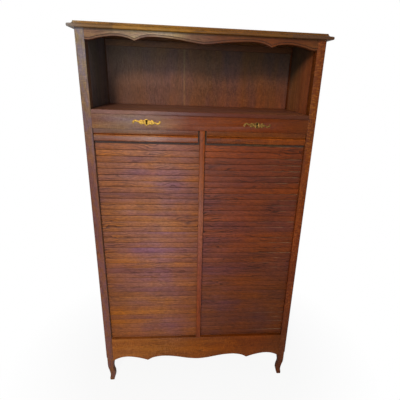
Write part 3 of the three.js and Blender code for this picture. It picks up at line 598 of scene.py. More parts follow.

# %% [markdown]
# ## Finishes of the niche
# Light falls into the niche from the front left. The right lining is painted lit, with the top
# rail's painted shadow across its upper back corner, and the left lining is painted grey and in
# shade. The back is veneer, matt and even, with one golden joint, under painted light and shade.
# The shelf's front edge is darker than its top, and its top is lighter towards the back.

# %% Finishes of the niche
BACK_WIDE, NICHE_DEPTH = (-0.4, 0.4), (-0.13, 0.18)
# lighter towards the back, with a painted sheen left of the middle
shelf_top = together(
    stain_and_light("Y", (-0.178, 0.18), (0, 84, 82, 80), (35, 90, 96, 110), (65, 105, 116, 135),
            (100, 120, 130, 140)),
    stain_and_light("X", WIDE, (0, 84, 88, 88), (25, 112, 125, 130), (42, 100, 104, 110),
            (60, 93, 90, 95), (80, 102, 98, 88), (100, 104, 100, 90)))
# darker to the right, with a painted sheen at its left end
shelf_edge = stain_and_light("X", WIDE, (0, 64, 84, 110), (24, 68, 90, 120), (38, 30, 10, 5),
                     (100, 27, 18, 12))
niche_floor = oak("niche_floor_oak", ((160, 100, 74), (136, 86, 64), (84, 52, 40)),
                  rough=(0.3, 0.45), shine=0.1, relief=0.1, drift=0.3,
                  tints=[between(on_shelf_edge, shelf_top, shelf_edge)])
# painted shade for the left lining: lighter and bluer towards the back, redder low down
shaded_lining = oak("shaded_lining_oak", ((108, 92, 84), (92, 80, 76), (58, 48, 44)), "z",
                    drift=0.25, **MATT, tints=[
    stain_and_light("Z", (1.2, 1.33), (0, 100, 66, 46), (80, 100, 66, 46), (100, 100, 100, 100)),
    stain_and_light("Y", NICHE_DEPTH, (0, 98, 92, 85), (30, 100, 112, 110), (55, 132, 152, 175),
            (80, 170, 215, 230), (100, 230, 280, 270))])
# painted light for the right lining: lighter and bluer towards the back, with the top rail's
# painted shadow
lit_lining = oak("warm_lining_oak", ((154, 84, 42), (126, 66, 34), (74, 38, 22)), "z",
                  drift=0.3, **MATT, tints=[
    rail_shadow_on_lining,
    stain_and_light("Y", NICHE_DEPTH, (0, 80, 76, 88), (30, 103, 116, 140), (55, 150, 215, 300),
            (80, 165, 270, 410), (100, 210, 320, 400)),
    stain_and_light("Z", (1.31, 1.46), (0, 100, 100, 100), (13, 126, 126, 130), (100, 100, 100, 100))])
# the golden joint, then painted light and shade: low down lighter on the right, up high lighter on
# the left, darker under the top rail
back_joint_light_and_shade = together(
    between(near_joint, plain, painted(148, 104, 58)),
    between(along("Z", 1.36, 1.5), stain_and_light(
        "X", BACK_WIDE, (0, 74, 82, 100), (15, 88, 98, 120), (40, 106, 115, 150),
        (58, 102, 100, 110), (75, 118, 98, 80), (100, 116, 100, 94)
    ), stain_and_light(
        "X", BACK_WIDE, (0, 108, 122, 145), (25, 122, 132, 150), (41, 113, 115, 140),
        (58, 92, 94, 110), (75, 86, 85, 86), (100, 78, 80, 80))),
    stain_and_light("Z", (1.33, 1.56), (0, 134, 128, 130), (30, 97, 92, 92), (60, 110, 114, 125),
            (90, 72, 84, 90)))
back_veneer = oak("back_veneer", ((114, 68, 42), (98, 62, 44), (62, 40, 28)), "z",
                  ring_gap=0.007, pith=(0, 0.2, 0.09), rough=(0.5, 0.68), contrast=0.36,
                  flecks=0.4, mottle=0.2, ray_tone=(136, 92, 58),
                  tints=[left_sheen, on_front(back_joint_light_and_shade, 0.184, 0.187)])
print("niche finishes made,", len(bpy.data.materials), "materials so far")

# %% [markdown]
# ## Finishes of the doors
# The left door is a light brown and the right one red, both with painted sheen. The lead rails
# are glossy, most of all the left bar, and carry painted highlights along the top of the bar and
# painted shade under it. The cove above each bar missed the stain and holds painted shade.
# The slats are tinted by where they lie at rest, so a rolled door keeps its colours.

# %% Finishes of the doors
HANDLED = {"rough": (0.22, 0.32), "relief": 0.1, "flecks": 0.2, "ring_gap": 0.0065}
SLATS = {"pith": (0, 0.04, 0.01), "slats": True, "contrast": 0.96, "stretch": 0.3,
         "ring_gap": 0.0105, "mottle": 0.2, "drift": 0.62}
RIGHT_DOOR, LEFT_DOOR, DOOR_HEIGHT = (0.015, 0.42), (-0.42, -0.015), (0.235, 1.2)
SLAT_TONES = ((126, 55, 22), (94, 42, 26), (46, 22, 14))
# painted highlight along the top of the bar, and a painted sheen on the left strip
lead_oak = oak("lead_rail_oak", CASE_TONES, **HANDLED, tints=[
    left_sheen,
    stain_and_light("Z", (1.2101, 1.257), (0, 100, 95, 80), (30, 103, 92, 50), (42, 105, 95, 50),
            (50, 160, 155, 90), (62, 95, 100, 100), (100, 86, 94, 96)),
    stain_and_light("X", WIDE, (0, 88, 106, 160), (10, 100, 118, 115), (25, 138, 170, 170),
            (34, 110, 110, 110), (45, 108, 92, 75), (55, 100, 100, 100))])
# more gloss, with a painted highlight along the top of the bar and near its middle, and painted
# shade at its foot and ends
glossy_lead_oak = oak("rubbed_lead_rail_oak", ((146, 78, 36), (122, 64, 34), (70, 34, 18)),
                      shine=0.12, **HANDLED, tints=[
    stain_and_light("Z", (1.2101, 1.235), (6, 72, 66, 66), (20, 100, 100, 115), (85, 100, 100, 100),
            (95, 230, 270, 250)),
    stain_and_light("X", LEFT_DOOR, (0, 60, 85, 150), (20, 80, 75, 55), (37, 100, 120, 135),
            (54, 130, 170, 200), (70, 98, 85, 50), (100, 84, 60, 15))])
# painted shade for the band under each bar
sooty_oak = oak("sooty_oak", ((88, 62, 46), (72, 52, 41), (42, 30, 24)), shine=0.04)
# bare oak, with painted shade in the lower half of the hollow
cove_oak = oak("bare_cove_oak", ((170, 90, 26), (146, 72, 22), (94, 44, 17)), tints=[
    stain_and_light("Z", (1.235, 1.24), (0, 20, 16, 16), (42, 30, 24, 24), (60, 100, 100, 100))])
# darker towards the foot, with a painted sheen on the left part of the right door
slat_oak = oak("slat_oak", SLAT_TONES, **SLATS, tints=[
    stain_and_light("Z", DOOR_HEIGHT, (0, 79, 95, 95), (25, 69, 90, 145), (45, 93, 107, 135),
            (57, 108, 116, 135), (74, 98, 104, 112), (93, 103, 97, 60)),
    stain_and_light("X", RIGHT_DOOR, (0, 120, 142, 200), (15, 114, 130, 160), (40, 100, 100, 100),
            (65, 88, 90, 78), (100, 87, 90, 80))])
# a paler oak for the left door, with a painted lilac sheen at middle height and towards its right
# part
faded_slat_oak = oak("faded_slat_oak", ((158, 94, 46), (128, 74, 58), (74, 40, 32)), **SLATS,
                     tints=[
    stain_and_light("Z", DOOR_HEIGHT, (0, 100, 95, 78), (25, 94, 95, 91), (42, 103, 105, 115),
            (58, 86, 93, 160), (78, 86, 93, 150), (92, 98, 98, 95)),
    stain_and_light("X", LEFT_DOOR, (0, 90, 86, 72), (15, 95, 92, 76), (37, 100, 102, 108),
            (62, 99, 108, 145), (86, 91, 86, 86), (100, 83, 74, 55))])
tail_oak = oak("tail_slat_oak", SLAT_TONES, ring_gap=0.007)
print("oak finishes", sum("oak" in m.name or "veneer" in m.name for m in bpy.data.materials))

# %% [markdown]
# ## Brass, iron and canvas
# The key plates are cast brass, rubbed bright on the high parts and brown in the hollows; the
# right one has dulled. The locks are plain iron. The slats hang on linen canvas.
# Two mixed noises give the tarnish, because old brass is patchy on two scales at once.

# %% Brass, iron and canvas
def metal(name, bright, dull, share, rough):
    made = material(name)
    place = node("ShaderNodeTexCoord", out="Object")
    patches = noise(place, 160, 4)
    both = maths("MULTIPLY_ADD", noise(place, 1400, 2), 0.35, patches)
    tarnish = ramp(both, (0.82 - share, 0), (1.06 - share, 1))
    colour = mixed(tarnish, linear(*bright), linear(*dull))
    surfaced(colour, spread(tarnish, 0, 1, *rough), both, 0.2, 0.00008, {"Metallic": 1.0})
    return made


bright_brass = metal("bright_brass", (126, 95, 40), (80, 56, 24), 0.12, (0.48, 0.6))
dull_brass = metal("dull_brass", (104, 74, 35), (66, 46, 22), 0.25, (0.5, 0.66))
# near black, as painted shade for the keyhole and the eyes
keyhole_dark = metal("keyhole_dark", (14, 11, 9), (7, 6, 5), 0.2, (0.8, 0.95))
lock_iron = metal("lock_iron", (128, 124, 118), (72, 66, 60), 0.25, (0.38, 0.6))

THREADS = 260
canvas = material("linen_canvas")
rest = attribute("rest_place", "Vector")
warp, weft = (node("ShaderNodeTexWave", {"Vector": rest, "Scale": THREADS},
                   bands_direction=way, out="Fac") for way in "XZ")
weave = maths("MAXIMUM", warp, weft)
thread = mixed(noise(rest, 9, 4), linear(150, 128, 96), linear(112, 92, 66))
thread = mixed(weave, linear(84, 68, 48), thread)
surfaced(thread, 0.9, weave, 0.5, 0.0003, {})
print("metals and canvas made")

# %% [markdown]
# ## Boards kept from the model
# Most boards already have the right shape, but their edges are knife sharp. A cabinet maker takes
# each arris off with a stroke or two of a plane. Modifiers do that here and leave the packed
# mesh alone: weld the loose triangles, melt flat faces together, round the edges, shade.

# %% Shading by angle
SHARP = math.radians(32)


def tree_with(name, sockets):
    """An empty shape-making tree with named inputs, and what those inputs give."""
    draw_in(bpy.data.node_groups.new(name, "GeometryNodeTree"))
    for label, kind, value in sockets:
        made = tree.interface.new_socket(label, in_out="INPUT", socket_type=f"NodeSocket{kind}")
        if value is not None:
            made.default_value = value
    out = "NodeSocketGeometry"
    tree.interface.new_socket("Geometry", in_out="OUTPUT", socket_type=out)
    return node("NodeGroupInput").node.outputs


def shading_tree():
    given = tree_with("shade_by_angle", [
        ("Geometry", "Geometry", None), ("Sharp angle", "Float", SHARP),
    ])
    smooth = {"Geometry": given["Geometry"]}
    smooth = node("GeometryNodeSetShadeSmooth", smooth, domain="FACE")
    angle = node("GeometryNodeInputMeshEdgeAngle", out="Unsigned Angle")
    sharp = {0: angle, 1: given["Sharp angle"]}
    sharp = node("FunctionNodeCompare", sharp, operation="GREATER_THAN")
    edges = {"Geometry": smooth, "Selection": sharp, "Shade Smooth": False}
    edges = node("GeometryNodeSetShadeSmooth", edges, domain="EDGE")
    node("NodeGroupOutput", {"Geometry": edges})
    return tree


by_angle = shading_tree()
WELD_GAP, FLAT_ANGLE, ARRIS_ANGLE = 0.00001, math.radians(0.6), math.radians(38)


def soften(name, finish, arris=0.0006):
    """Gives a packed board its planed edges and its finish."""
    piece = nodes[name]
    piece.modifiers.new("weld", "WELD").merge_threshold = WELD_GAP
    flat = piece.modifiers.new("flat_faces", "DECIMATE")
    flat.decimate_type = "DISSOLVE"
    flat.angle_limit = FLAT_ANGLE
    edge = piece.modifiers.new("planed_arris", "BEVEL")
    edge.width = arris
    edge.segments = 2
    edge.limit_method = "ANGLE"
    edge.angle_limit = ARRIS_ANGLE
    piece.modifiers.new("shading", "NODES").node_group = by_angle
    for slot in piece.material_slots:
        slot.material = finish


# %% The boards
THIN_ARRIS, IRON_ARRIS, BRASS_ARRIS = 0.0003, 0.0002, 0.00015
for name, finish in (
    ("rear_top_rail", rear_rail_oak), ("case_bottom", inside_level),
    ("rear_bottom_rail", inside_level), ("lock_rail", lock_rail_oak),
    ("niche_shelf", niche_floor), ("front_apron", apron_oak), ("centre_stile", stile_oak),
    ("centre_partition", inside_upright),
):
    soften(name, finish)
for name in ("niche_back", "lower_back"):
    soften(name, back_veneer, THIN_ARRIS)
for side, lining in (("right", lit_lining), ("left", shaded_lining)):
    soften(f"{side}_side_top_rail", side_oak)
    soften(f"{side}_side_bottom_rail", side_oak)
    soften(f"{side}_side_panel", upright_oak)
    soften(f"{side}_side_lining", lining)
    soften(f"{side}_inner_back", inside_upright, THIN_ARRIS)
    soften(f"{side}_bay_floor", inside_level)
    soften(f"{side}_curtain_tail", tail_oak, THIN_ARRIS)
    for nth in (1, 2, 3):
        soften(f"{side}_shelf_{nth}", inside_level)
        soften(f"{side}_outer_cleat_{nth}", inside_side)
        soften(f"{side}_inner_cleat_{nth}", inside_side)
    soften(f"{side}_lock_case", lock_iron, IRON_ARRIS)
    soften(f"{side}_lock_hook", lock_iron, IRON_ARRIS)
    soften(f"{side}_strike_plate", bright_brass, BRASS_ARRIS)
print("boards kept", sum(bool(n.modifiers) for n in nodes.values()))

# %% [markdown]
# ## Tools for shaped pieces
# The moulded and sawn pieces are drawn as a row of outlines with a skin between them, like
# the sections on a joiner's full-size drawing. The helpers here make such skins, smooth curves
# through given values, prisms for cutting, and the cuts.

# %% Curves through given values
def smooth_values(stations, values, wanted):
    """Values between the stations, without any bump past them."""
    gaps = [b - a for a, b in zip(stations, stations[1:])]
    slopes = [(b - a) / gap for a, b, gap in zip(values, values[1:], gaps)]
    ends = [slopes[0]]
    for before, after in zip(slopes, slopes[1:]):
        ends.append(0 if before * after <= 0 else 2 * before * after / (before + after))
    ends.append(slopes[-1])
    found = []
    for at in wanted:
        i = max(k for k in range(len(gaps)) if stations[k] <= at or k == 0)
        t = (at - stations[i]) / gaps[i]
        a, b = values[i], values[i + 1]
        keep = (1 + 2 * t) * (1 - t) ** 2 * a + t * t * (3 - 2 * t) * b
        turn = t * (1 - t) ** 2 * ends[i] - t * t * (1 - t) * ends[i + 1]
        found.append(keep + turn * gaps[i])
    return found


def spline(points, steps):
    """A smooth curve through the points."""
    padded = [points[0], *points, points[-1]]
    curve = []
    for i in range(1, len(padded) - 2):
        a, b, c, d = (Vector(p) for p in padded[i - 1:i + 3])
        for step in range(steps):
            t = step / steps
            bend = (c - a) * t + (2 * a - 5 * b + 4 * c - d) * t**2
            bend += (3 * b - a - 3 * c + d) * t**3
            curve.append(b + bend / 2)
    return [tuple(p) for p in curve] + [tuple(points[-1])]


def arc(y, z, radius_y, radius_z, first, last, steps=8):
    """Points (y, z) on an oval, from the first angle to the last, in degrees."""
    angles = [math.radians(first + (last - first) * i / steps) for i in range(steps + 1)]
    return [(y + radius_y * math.cos(a), z + radius_z * math.sin(a)) for a in angles]


# %% Skins and pieces
CORNER_STEPS = 6


def rounded_ring(x, y, z, radius):
    """A rectangle with rounded corners, lying level at height z."""
    right, left, rear, front = x[1] - radius, x[0] + radius, y[1] - radius, y[0] + radius
    ring = []
    for quarter, middle in enumerate(((right, rear), (left, rear), (left, front), (right, front))):
        for step in range(CORNER_STEPS + 1):
            angle = (quarter + step / CORNER_STEPS) * math.pi / 2
            across, deep = radius * math.cos(angle), radius * math.sin(angle)
            ring.append((middle[0] + across, middle[1] + deep, z))
    return ring


def skinned(name, rings):
    """A closed skin over a row of outlines that have the same number of points."""
    mesh = bpy.data.meshes.new(name)
    count = len(rings[0])
    faces = []
    for nth in range(len(rings) - 1):
        for i in range(count):
            a, b = nth * count + i, nth * count + (i + 1) % count
            faces.append((a, b, b + count, a + count))
    faces.append(tuple(reversed(range(count))))
    faces.append(tuple(range((len(rings) - 1) * count, len(rings) * count)))
    mesh.from_pydata([point for ring in rings for point in ring], [], faces)
    return mesh


def prism(name, outline, x):
    """A [y, z] outline drawn out along x."""
    return skinned(name, [[(at, y, z) for y, z in outline] for at in x])


def shaded(mesh, sharp=SHARP):
    mesh.shade_smooth()
    mesh.set_sharp_from_angle(angle=sharp)


def piece_from(mesh, finish, sharp=SHARP):
    """An object with a clean, closed, shaded mesh in one finish."""
    shape = bmesh.new()
    shape.from_mesh(mesh)
    bmesh.ops.remove_doubles(shape, verts=shape.verts, dist=1e-6)
    bmesh.ops.recalc_face_normals(shape, faces=shape.faces)
    shape.to_mesh(mesh)
    shape.free()
    shaded(mesh, sharp)
    mesh.materials.clear()
    mesh.materials.append(finish)
    return placed(mesh)


def box(name, x, y, z, finish):
    (y0, y1), (z0, z1) = y, z
    return piece_from(prism(name, [(y0, z0), (y1, z0), (y1, z1), (y0, z1)], x), finish)


# %% Cuts and additions
def baked(holder):
    """Keeps what the modifiers make as a plain mesh, and drops the modifiers."""
    seen = holder.evaluated_get(bpy.context.evaluated_depsgraph_get())
    made = bpy.data.meshes.new_from_object(seen)
    holder.modifiers.clear()
    holder.data = made
    shaded(made)
    return holder


def cut_away(piece, cutters):
    for cutter in cutters:
        cut = piece.modifiers.new("cut", "BOOLEAN")
        cut.operation = "DIFFERENCE"
        cut.solver = "EXACT"
        cut.object = cutter
    baked(piece)
    for cutter in cutters:
        bpy.data.objects.remove(cutter)


def add_to(piece, extras, slot=0):
    """Joins the extra pieces to a piece, in one of its finishes."""
    shape = bmesh.new()
    shape.from_mesh(piece.data)
    for extra in extras:
        for face in extra.data.polygons:
            face.material_index = slot
        shape.from_mesh(extra.data)
        bpy.data.objects.remove(extra)
    shape.to_mesh(piece.data)
    shape.free()


# %% [markdown]
# ## Posts and cabriole feet
# Each post is one length of oak whose lower end is sawn to a slender S-shaped foot. The model
# has thirteen cross-sections for it. Here a smooth curve runs through the same sections, which
# gives many thin slices with round corners. Sculpting would wander from the sizes.

# %% Posts
POST_INNER, POST_OUTER = 0.4185, 0.45
POST_FACE, POST_DEPTH = 0.0315, 0.045
CASE_FRONT, CASE_REAR = -0.178, 0.198
LEG_HEIGHT, POST_TOP, LEG_SLICES = 0.150, 1.595, 60
POST_ARRIS, LEG_ROUNDNESS = 0.0016, 0.005
# height, outer face, inner face, far side, roundness, in shares of the leg and of the post
LEG_LEVELS = [
    (0, -0.18, -0.15, 0.3, 0.9), (0.05, -0.175, -0.09, 0.28, 1), (0.11, -0.225, -0.015, 0.27, 1),
    (0.2, -0.265, 0.11, 0.26, 1), (0.32, -0.22, 0.095, 0.25, 1), (0.43, -0.15, -0.055, 0.22, 1),
    (0.53, -0.075, -0.12, 0.17, 0.9), (0.62, -0.04, -0.065, 0.12, 0.8),
    (0.72, -0.035, -0.025, 0.07, 0.7), (0.82, -0.045, -0.005, 0.02, 0.6),
    (0.86, -0.045, 0, 0, 0.5), (0.94, -0.05, 0, 0, 0.4), (1, 0, 0, 0, 0.32),
]
# the groove that a door slides in: its bend, the two edges' radii and its top
BEND_Y, BEND_Z, GROOVE_OUTER, GROOVE_INNER, GROOVE_TOP = -0.1005, 0.2265, 0.060, 0.0482, 1.257


def post_rings(front):
    """A right-hand post's slices, from the floor up."""
    wanted = [step / LEG_SLICES for step in range(LEG_SLICES + 1)]
    heights, *columns = zip(*LEG_LEVELS)
    rings = []
    for level in zip(wanted, *(smooth_values(heights, column, wanted) for column in columns)):
        height, outer, inner, far, roundness = level
        x = (POST_INNER - inner * POST_FACE, POST_OUTER + outer * POST_FACE)
        if front:
            y = (CASE_FRONT - outer * POST_FACE, CASE_FRONT + POST_DEPTH * (1 - far))
        else:
            y = (CASE_REAR - POST_DEPTH * (1 - far), CASE_REAR)
        radius = max(POST_ARRIS, roundness * LEG_ROUNDNESS)
        rings.append(rounded_ring(x, y, height * LEG_HEIGHT, radius))
    y = (CASE_FRONT, CASE_FRONT + POST_DEPTH) if front else (CASE_REAR - POST_DEPTH, CASE_REAR)
    rings.append(rounded_ring((POST_INNER, POST_OUTER), y, POST_TOP, POST_ARRIS))
    return rings


def groove_cutter(sign):
    outer = arc(BEND_Y, BEND_Z, GROOVE_OUTER, GROOVE_OUTER, 180, 245, 16)
    inner = arc(BEND_Y, BEND_Z, GROOVE_INNER, GROOVE_INNER, 245, 180, 16)
    outline = [(BEND_Y - GROOVE_OUTER, GROOVE_TOP), *outer, *inner,
               (BEND_Y - GROOVE_INNER, GROOVE_TOP)]
    x = (sign * 0.4155, sign * 0.4255)
    return piece_from(prism("groove_cutter", outline, x), upright_oak)


for side, sign, finish in (("right", 1, right_post_oak), ("left", -1, left_post_oak)):
    for place in ("front", "rear"):
        rings = [[(sign * x, y, z) for x, y, z in ring] for ring in post_rings(place == "front")]
        post = piece_from(skinned(f"{side}_{place}_post_shaped", rings), finish)
        if place == "front":
            cut_away(post, [groove_cutter(sign)])
        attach(post, "root")
        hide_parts(f"{side}_{place}_post")
        print(post.name, len(post.data.polygons), "faces")

# %% [markdown]
# ## Top board
# The top's front and side edges carry a moulding: a round nose, a sweep inwards and a small
# step. A shaper cutter runs it round three sides and meets itself in a mitre at each corner.
# The profile is drawn once, made smooth, and set out at each level, so the mitres come out right.

# %% Top board
# how far out and how far up, in shares of the overhang and of the thickness
NOSE = [
    (0.7, 0), (0.89, 0.03), (0.98, 0.12), (1, 0.26), (0.98, 0.4), (0.88, 0.51), (0.6, 0.57),
    (0.36, 0.62), (0.25, 0.7), (0.2, 0.8),
]
STEP = [(0.13, 0.81), (0.13, 0.97), (0.11, 1.0)]
top_low, top_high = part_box("top_board")
overhang = top_high.x - POST_OUTER
rings = []
for out, up in spline(NOSE, 5) + STEP:
    x = POST_OUTER + min(out, 1) * overhang
    y = CASE_FRONT - min(out, 1) * overhang
    z = top_low.z + max(up, 0) * (top_high.z - top_low.z)
    rings.append([(x, top_high.y, z), (-x, top_high.y, z), (-x, y, z), (x, y, z)])
top = piece_from(skinned("moulded_top", rings), top_oak)
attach(top, "root")
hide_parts("top_board")
print("top board levels", len(rings))

# %% [markdown]
# ## Front top rail
# A narrow rail with a scalloped lower edge: two lobes a side that meet in cusps, sawn to a
# pattern and cleaned up with a spokeshave. A fine line is routed just above the edge, and the
# edge itself is eased by hand. The section is drawn at each place along the curve.

# %% Front top rail
# how far from the middle and how far down, in shares of half the span and of the depth
LOBES = [
    [(1, 1), (0.955, 0.99), (0.879, 0.75), (0.76, 0.56), (0.66, 0.65), (0.59, 0.92)],
    [(0.59, 0.92), (0.52, 0.6), (0.42, 0.47), (0.24, 0.59), (0.1, 0.8), (0, 0.93)],
]
RAIL_TOP, RAIL_DEPTH, HALF_SPAN, BEAD = 1.5947, 0.035, 0.4182, 0.0057
RAIL_THICK, LINE_DEEP = 0.02, 0.0014
TENON_END, TENON_Y, TENON_Z = 0.4325, (-0.172, -0.164), (1.569, 1.589)


def rail_section(x, z):
    """The rail's outline at x, where its lower edge is at height z, with its bead marked 1."""
    front, rear, line = CASE_FRONT, CASE_FRONT + RAIL_THICK, z + BEAD
    return [
        (x, rear, RAIL_TOP, 0), (x, rear, z, 0), (x, front + 0.0012, z, 1),
        (x, front + 0.0003, z + 0.0004, 1), (x, front, z + 0.0014, 1), (x, front, line, 1),
        (x, front + LINE_DEEP, line + 0.0003, 0), (x, front + LINE_DEEP, line + 0.0018, 0),
        (x, front, line + 0.0022, 0), (x, front, RAIL_TOP, 0),
    ]


right_edge = []
for lobe in LOBES:
    points = [(x * HALF_SPAN, RAIL_TOP - drop * RAIL_DEPTH) for x, drop in lobe]
    right_edge += spline(points, 6)[1 if right_edge else 0:]
edge = [(-x, z) for x, z in right_edge] + right_edge[-2::-1]
sections = [rail_section(x, z) for x, z in edge]
rail = skinned("front_top_rail_scalloped", [[point[:3] for point in ring] for ring in sections])
bead = rail.attributes.new("bead", "FLOAT", "POINT")
bead.data.foreach_set("value", [float(point[3]) for ring in sections for point in ring])
rail = piece_from(rail, top_rail_oak, math.radians(28))
add_to(rail, [box("tenon", sorted((sign * HALF_SPAN, sign * TENON_END)), TENON_Y, TENON_Z,
                  top_rail_oak) for sign in (1, -1)])
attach(rail, "root")
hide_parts("front_top_rail")
print("top rail sections", len(sections))

# %% [markdown]
# ## Lead rails
# The lowest board of each roll-up door is also its handle. Here the doors open downwards, so it
# is the topmost: a flat strip, a hollow cove that the stain missed, and a rounded bar to push on.
# One section is drawn out along x, tongues are added for the grooves, and the lock's recess is cut.

# %% Lead rails
BAY_MIDDLE = 0.2145
BAR_TOP, BAR_BOTTOM = 1.2350, 1.2101
LEAD_TOP, LEAD_FOOT, LEAD_BACK = 1.2570, 1.2001, -0.1507
LEAD_INNER, LEAD_OUTER, TONGUE_INNER, TONGUE_OUTER = 0.0170, 0.4160, 0.0045, 0.4245
BEHIND_BAR, COVE_FACE, SHADED_FACE, BAR_FACE = -0.1700, 1, 2, 3
LOCK_CUTS = [("recess", 0.0218, (-0.1698, -0.1562), (1.2552, 1.2600)),
             ("mortise", 0.0166, (-0.1650, -0.1610), (1.2479, 1.2600))]
LEAD_SECTION = [
    (LEAD_BACK, LEAD_TOP), (-0.1755, LEAD_TOP), (-0.1760, 1.2565), (-0.1760, 1.2403),
    *arc(-0.1760, BAR_TOP, 0.0050, 0.0050, 88, 4), (-0.1765 + 0.0050, BAR_TOP),
    *arc(-0.1732, BAR_TOP - 0.0070, 0.0066, 0.0070, 90, 168),
    *arc(-0.1752, BAR_BOTTOM + 0.0048, 0.0048, 0.0048, 188, 266, 6),
    (-0.1600, BAR_BOTTOM), (-0.1600, LEAD_FOOT), (LEAD_BACK, LEAD_FOOT),
]


def lead_finish(face, sign):
    """Which of the lead rail's finishes a face has."""
    y, z = face.center.y, face.center.z
    in_cove = BAR_TOP - 0.0002 < z < BAR_TOP + 0.0052 and y < BEHIND_BAR
    if in_cove and abs(face.normal.x) < 0.5:
        return COVE_FACE
    # the band under the bar takes the painted shade
    if z < BAR_BOTTOM + 0.0006 and y > BEHIND_BAR:
        return SHADED_FACE
    return BAR_FACE if z < BAR_TOP and sign == -1 else 0


for side, sign in (("right", 1), ("left", -1)):
    x = sorted((sign * LEAD_INNER, sign * LEAD_OUTER))
    lead = piece_from(prism(f"{side}_lead_rail_moulded", LEAD_SECTION, x), lead_oak)
    for finish in (cove_oak, sooty_oak, glossy_lead_oak):
        lead.data.materials.append(finish)
    middle = sign * BAY_MIDDLE
    cut_away(lead, [box(name, (middle - half, middle + half), y, z, level_oak)
                    for name, half, y, z in LOCK_CUTS])
    for face in lead.data.polygons:
        face.material_index = lead_finish(face, sign)
    ends = ((TONGUE_INNER, LEAD_INNER), (LEAD_OUTER, TONGUE_OUTER))
    add_to(lead, [box("tongue", sorted((sign * a, sign * b)), (-0.1600, LEAD_BACK),
                      (LEAD_FOOT, LEAD_TOP), level_oak) for a, b in ends], SHADED_FACE)
    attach(lead, f"{side}_tambour")
    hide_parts(f"{side}_lead_rail")
    print(lead.name, len(lead.data.polygons), "faces")

# %% [markdown]
# ## Tambour doors
# Thirty-eight narrow slats are glued side by side on canvas, so the door bends like cloth and
# still looks like wood. Geometry Nodes make it by rule: a line of points one pitch apart, a
# rounded slat on each, a slight twist from a fixed seed, and the canvas behind.
# Each slat remembers its board and its place at rest, so the grain moves with the wood.

# %% Helpers for shapes that repeat
def joined_vector(x=0.0, y=0.0, z=0.0):
    return node("ShaderNodeCombineXYZ", {0: x, 1: y, 2: z})


def stored(geometry, label, value, kind="FLOAT_VECTOR"):
    held = {"Geometry": geometry, "Name": label, "Value": value}
    return node("GeometryNodeStoreNamedAttribute", held, data_type=kind)


def random_between(low, high, seed, key, kind="FLOAT_VECTOR"):
    first, out = (0, 0) if kind == "FLOAT_VECTOR" else (2, 1)
    chosen = {first: low, first + 1: high, "ID": key, "Seed": seed}
    return node("FunctionNodeRandomValue", chosen, out=out, data_type=kind)


def on_points(points, shape, turn):
    given = {"Points": points, "Instance": shape, "Rotation": turn}
    return node("GeometryNodeInstanceOnPoints", given)


def realized(geometry):
    return node("GeometryNodeRealizeInstances", {"Geometry": geometry})


def finished(geometry, finish):
    given = {"Geometry": geometry, "Material": finish}
    return node("GeometryNodeSetMaterial", given)


# %% Slats and canvas
SLATS_FROM_A_BOARD = 3
# the least and the most that is drawn at random: a step to another board's figure, a step
# within one board, and the twist of a slat
OTHER_BOARD = (-2, -0.03, -0.05), (2, 0.05, 0.05)
SAME_BOARD = (-0.03, -0.004, -0.004), (0.03, 0.004, 0.004)
TWIST = (-0.012, -0.0004, 0), (0.012, 0.0004, 0)


def slat_shape(given):
    """One slat with rounded long edges, whose points know how high on the slat they are."""
    height = maths("SUBTRACT", given["Pitch"], given["Joint"])
    section = {"Width": given["Thickness"], "Height": height}
    section = node("GeometryNodeCurvePrimitiveQuadrilateral", section)
    rounding = {"Curve": section, "Radius": given["Rounding"], "Count": 3, "Limit Radius": True}
    section = node("GeometryNodeFilletCurve", rounding, mode="POLY")
    half = times(given["Width"], 0.5)
    ends = {"Start": joined_vector(times(half, -1.0))}
    ends["End"] = joined_vector(half)
    line = node("GeometryNodeCurvePrimitiveLine", ends)
    drawn = {"Curve": line, "Profile Curve": section, "Fill Caps": True}
    slat = node("GeometryNodeCurveToMesh", drawn)
    own_place = node("GeometryNodeInputPosition")
    across = maths("DIVIDE", axis_of(own_place, "Z"), height)
    return stored(slat, "across", times(across, 2.0), "FLOAT")


def slat_points(given, index):
    """A point for each slat, with its tone and its board."""
    drop = joined_vector(z=times(given["Pitch"], -1.0))
    down, back = times(given["Pitch"], -0.5), times(given["Thickness"], 0.5)
    first = vectors("ADD", given["Top middle"], joined_vector(0.0, back, down))
    row = {"Count": given["Slats"], "Start Location": first, "Offset": drop}
    points = node("GeometryNodeMeshLine", row)
    seed = given["Seed"]
    plank = maths("FLOOR", maths("DIVIDE", index, SLATS_FROM_A_BOARD))
    strip = random_between(0.0, 1.0, seed, index, "FLOAT")
    board = random_between(*OTHER_BOARD, seed, plank)
    own = random_between(*SAME_BOARD, seed, index)
    points = stored(points, "strip", strip, "FLOAT")
    return stored(points, "board", vectors("ADD", board, own))


def cloth_shape(given):
    """The canvas, a thin sheet behind all the slats."""
    full = times(given["Pitch"], given["Slats"])
    cloth = {"Size": joined_vector(given["Width"], given["Canvas"], full)}
    cloth = node("GeometryNodeMeshCube", cloth)
    behind = maths("ADD", times(given["Canvas"], 0.5), given["Thickness"])
    behind = joined_vector(0.0, behind, times(full, -0.5))
    moved = {"Geometry": cloth, "Translation": vectors("ADD", given["Top middle"], behind)}
    return node("GeometryNodeTransform", moved)


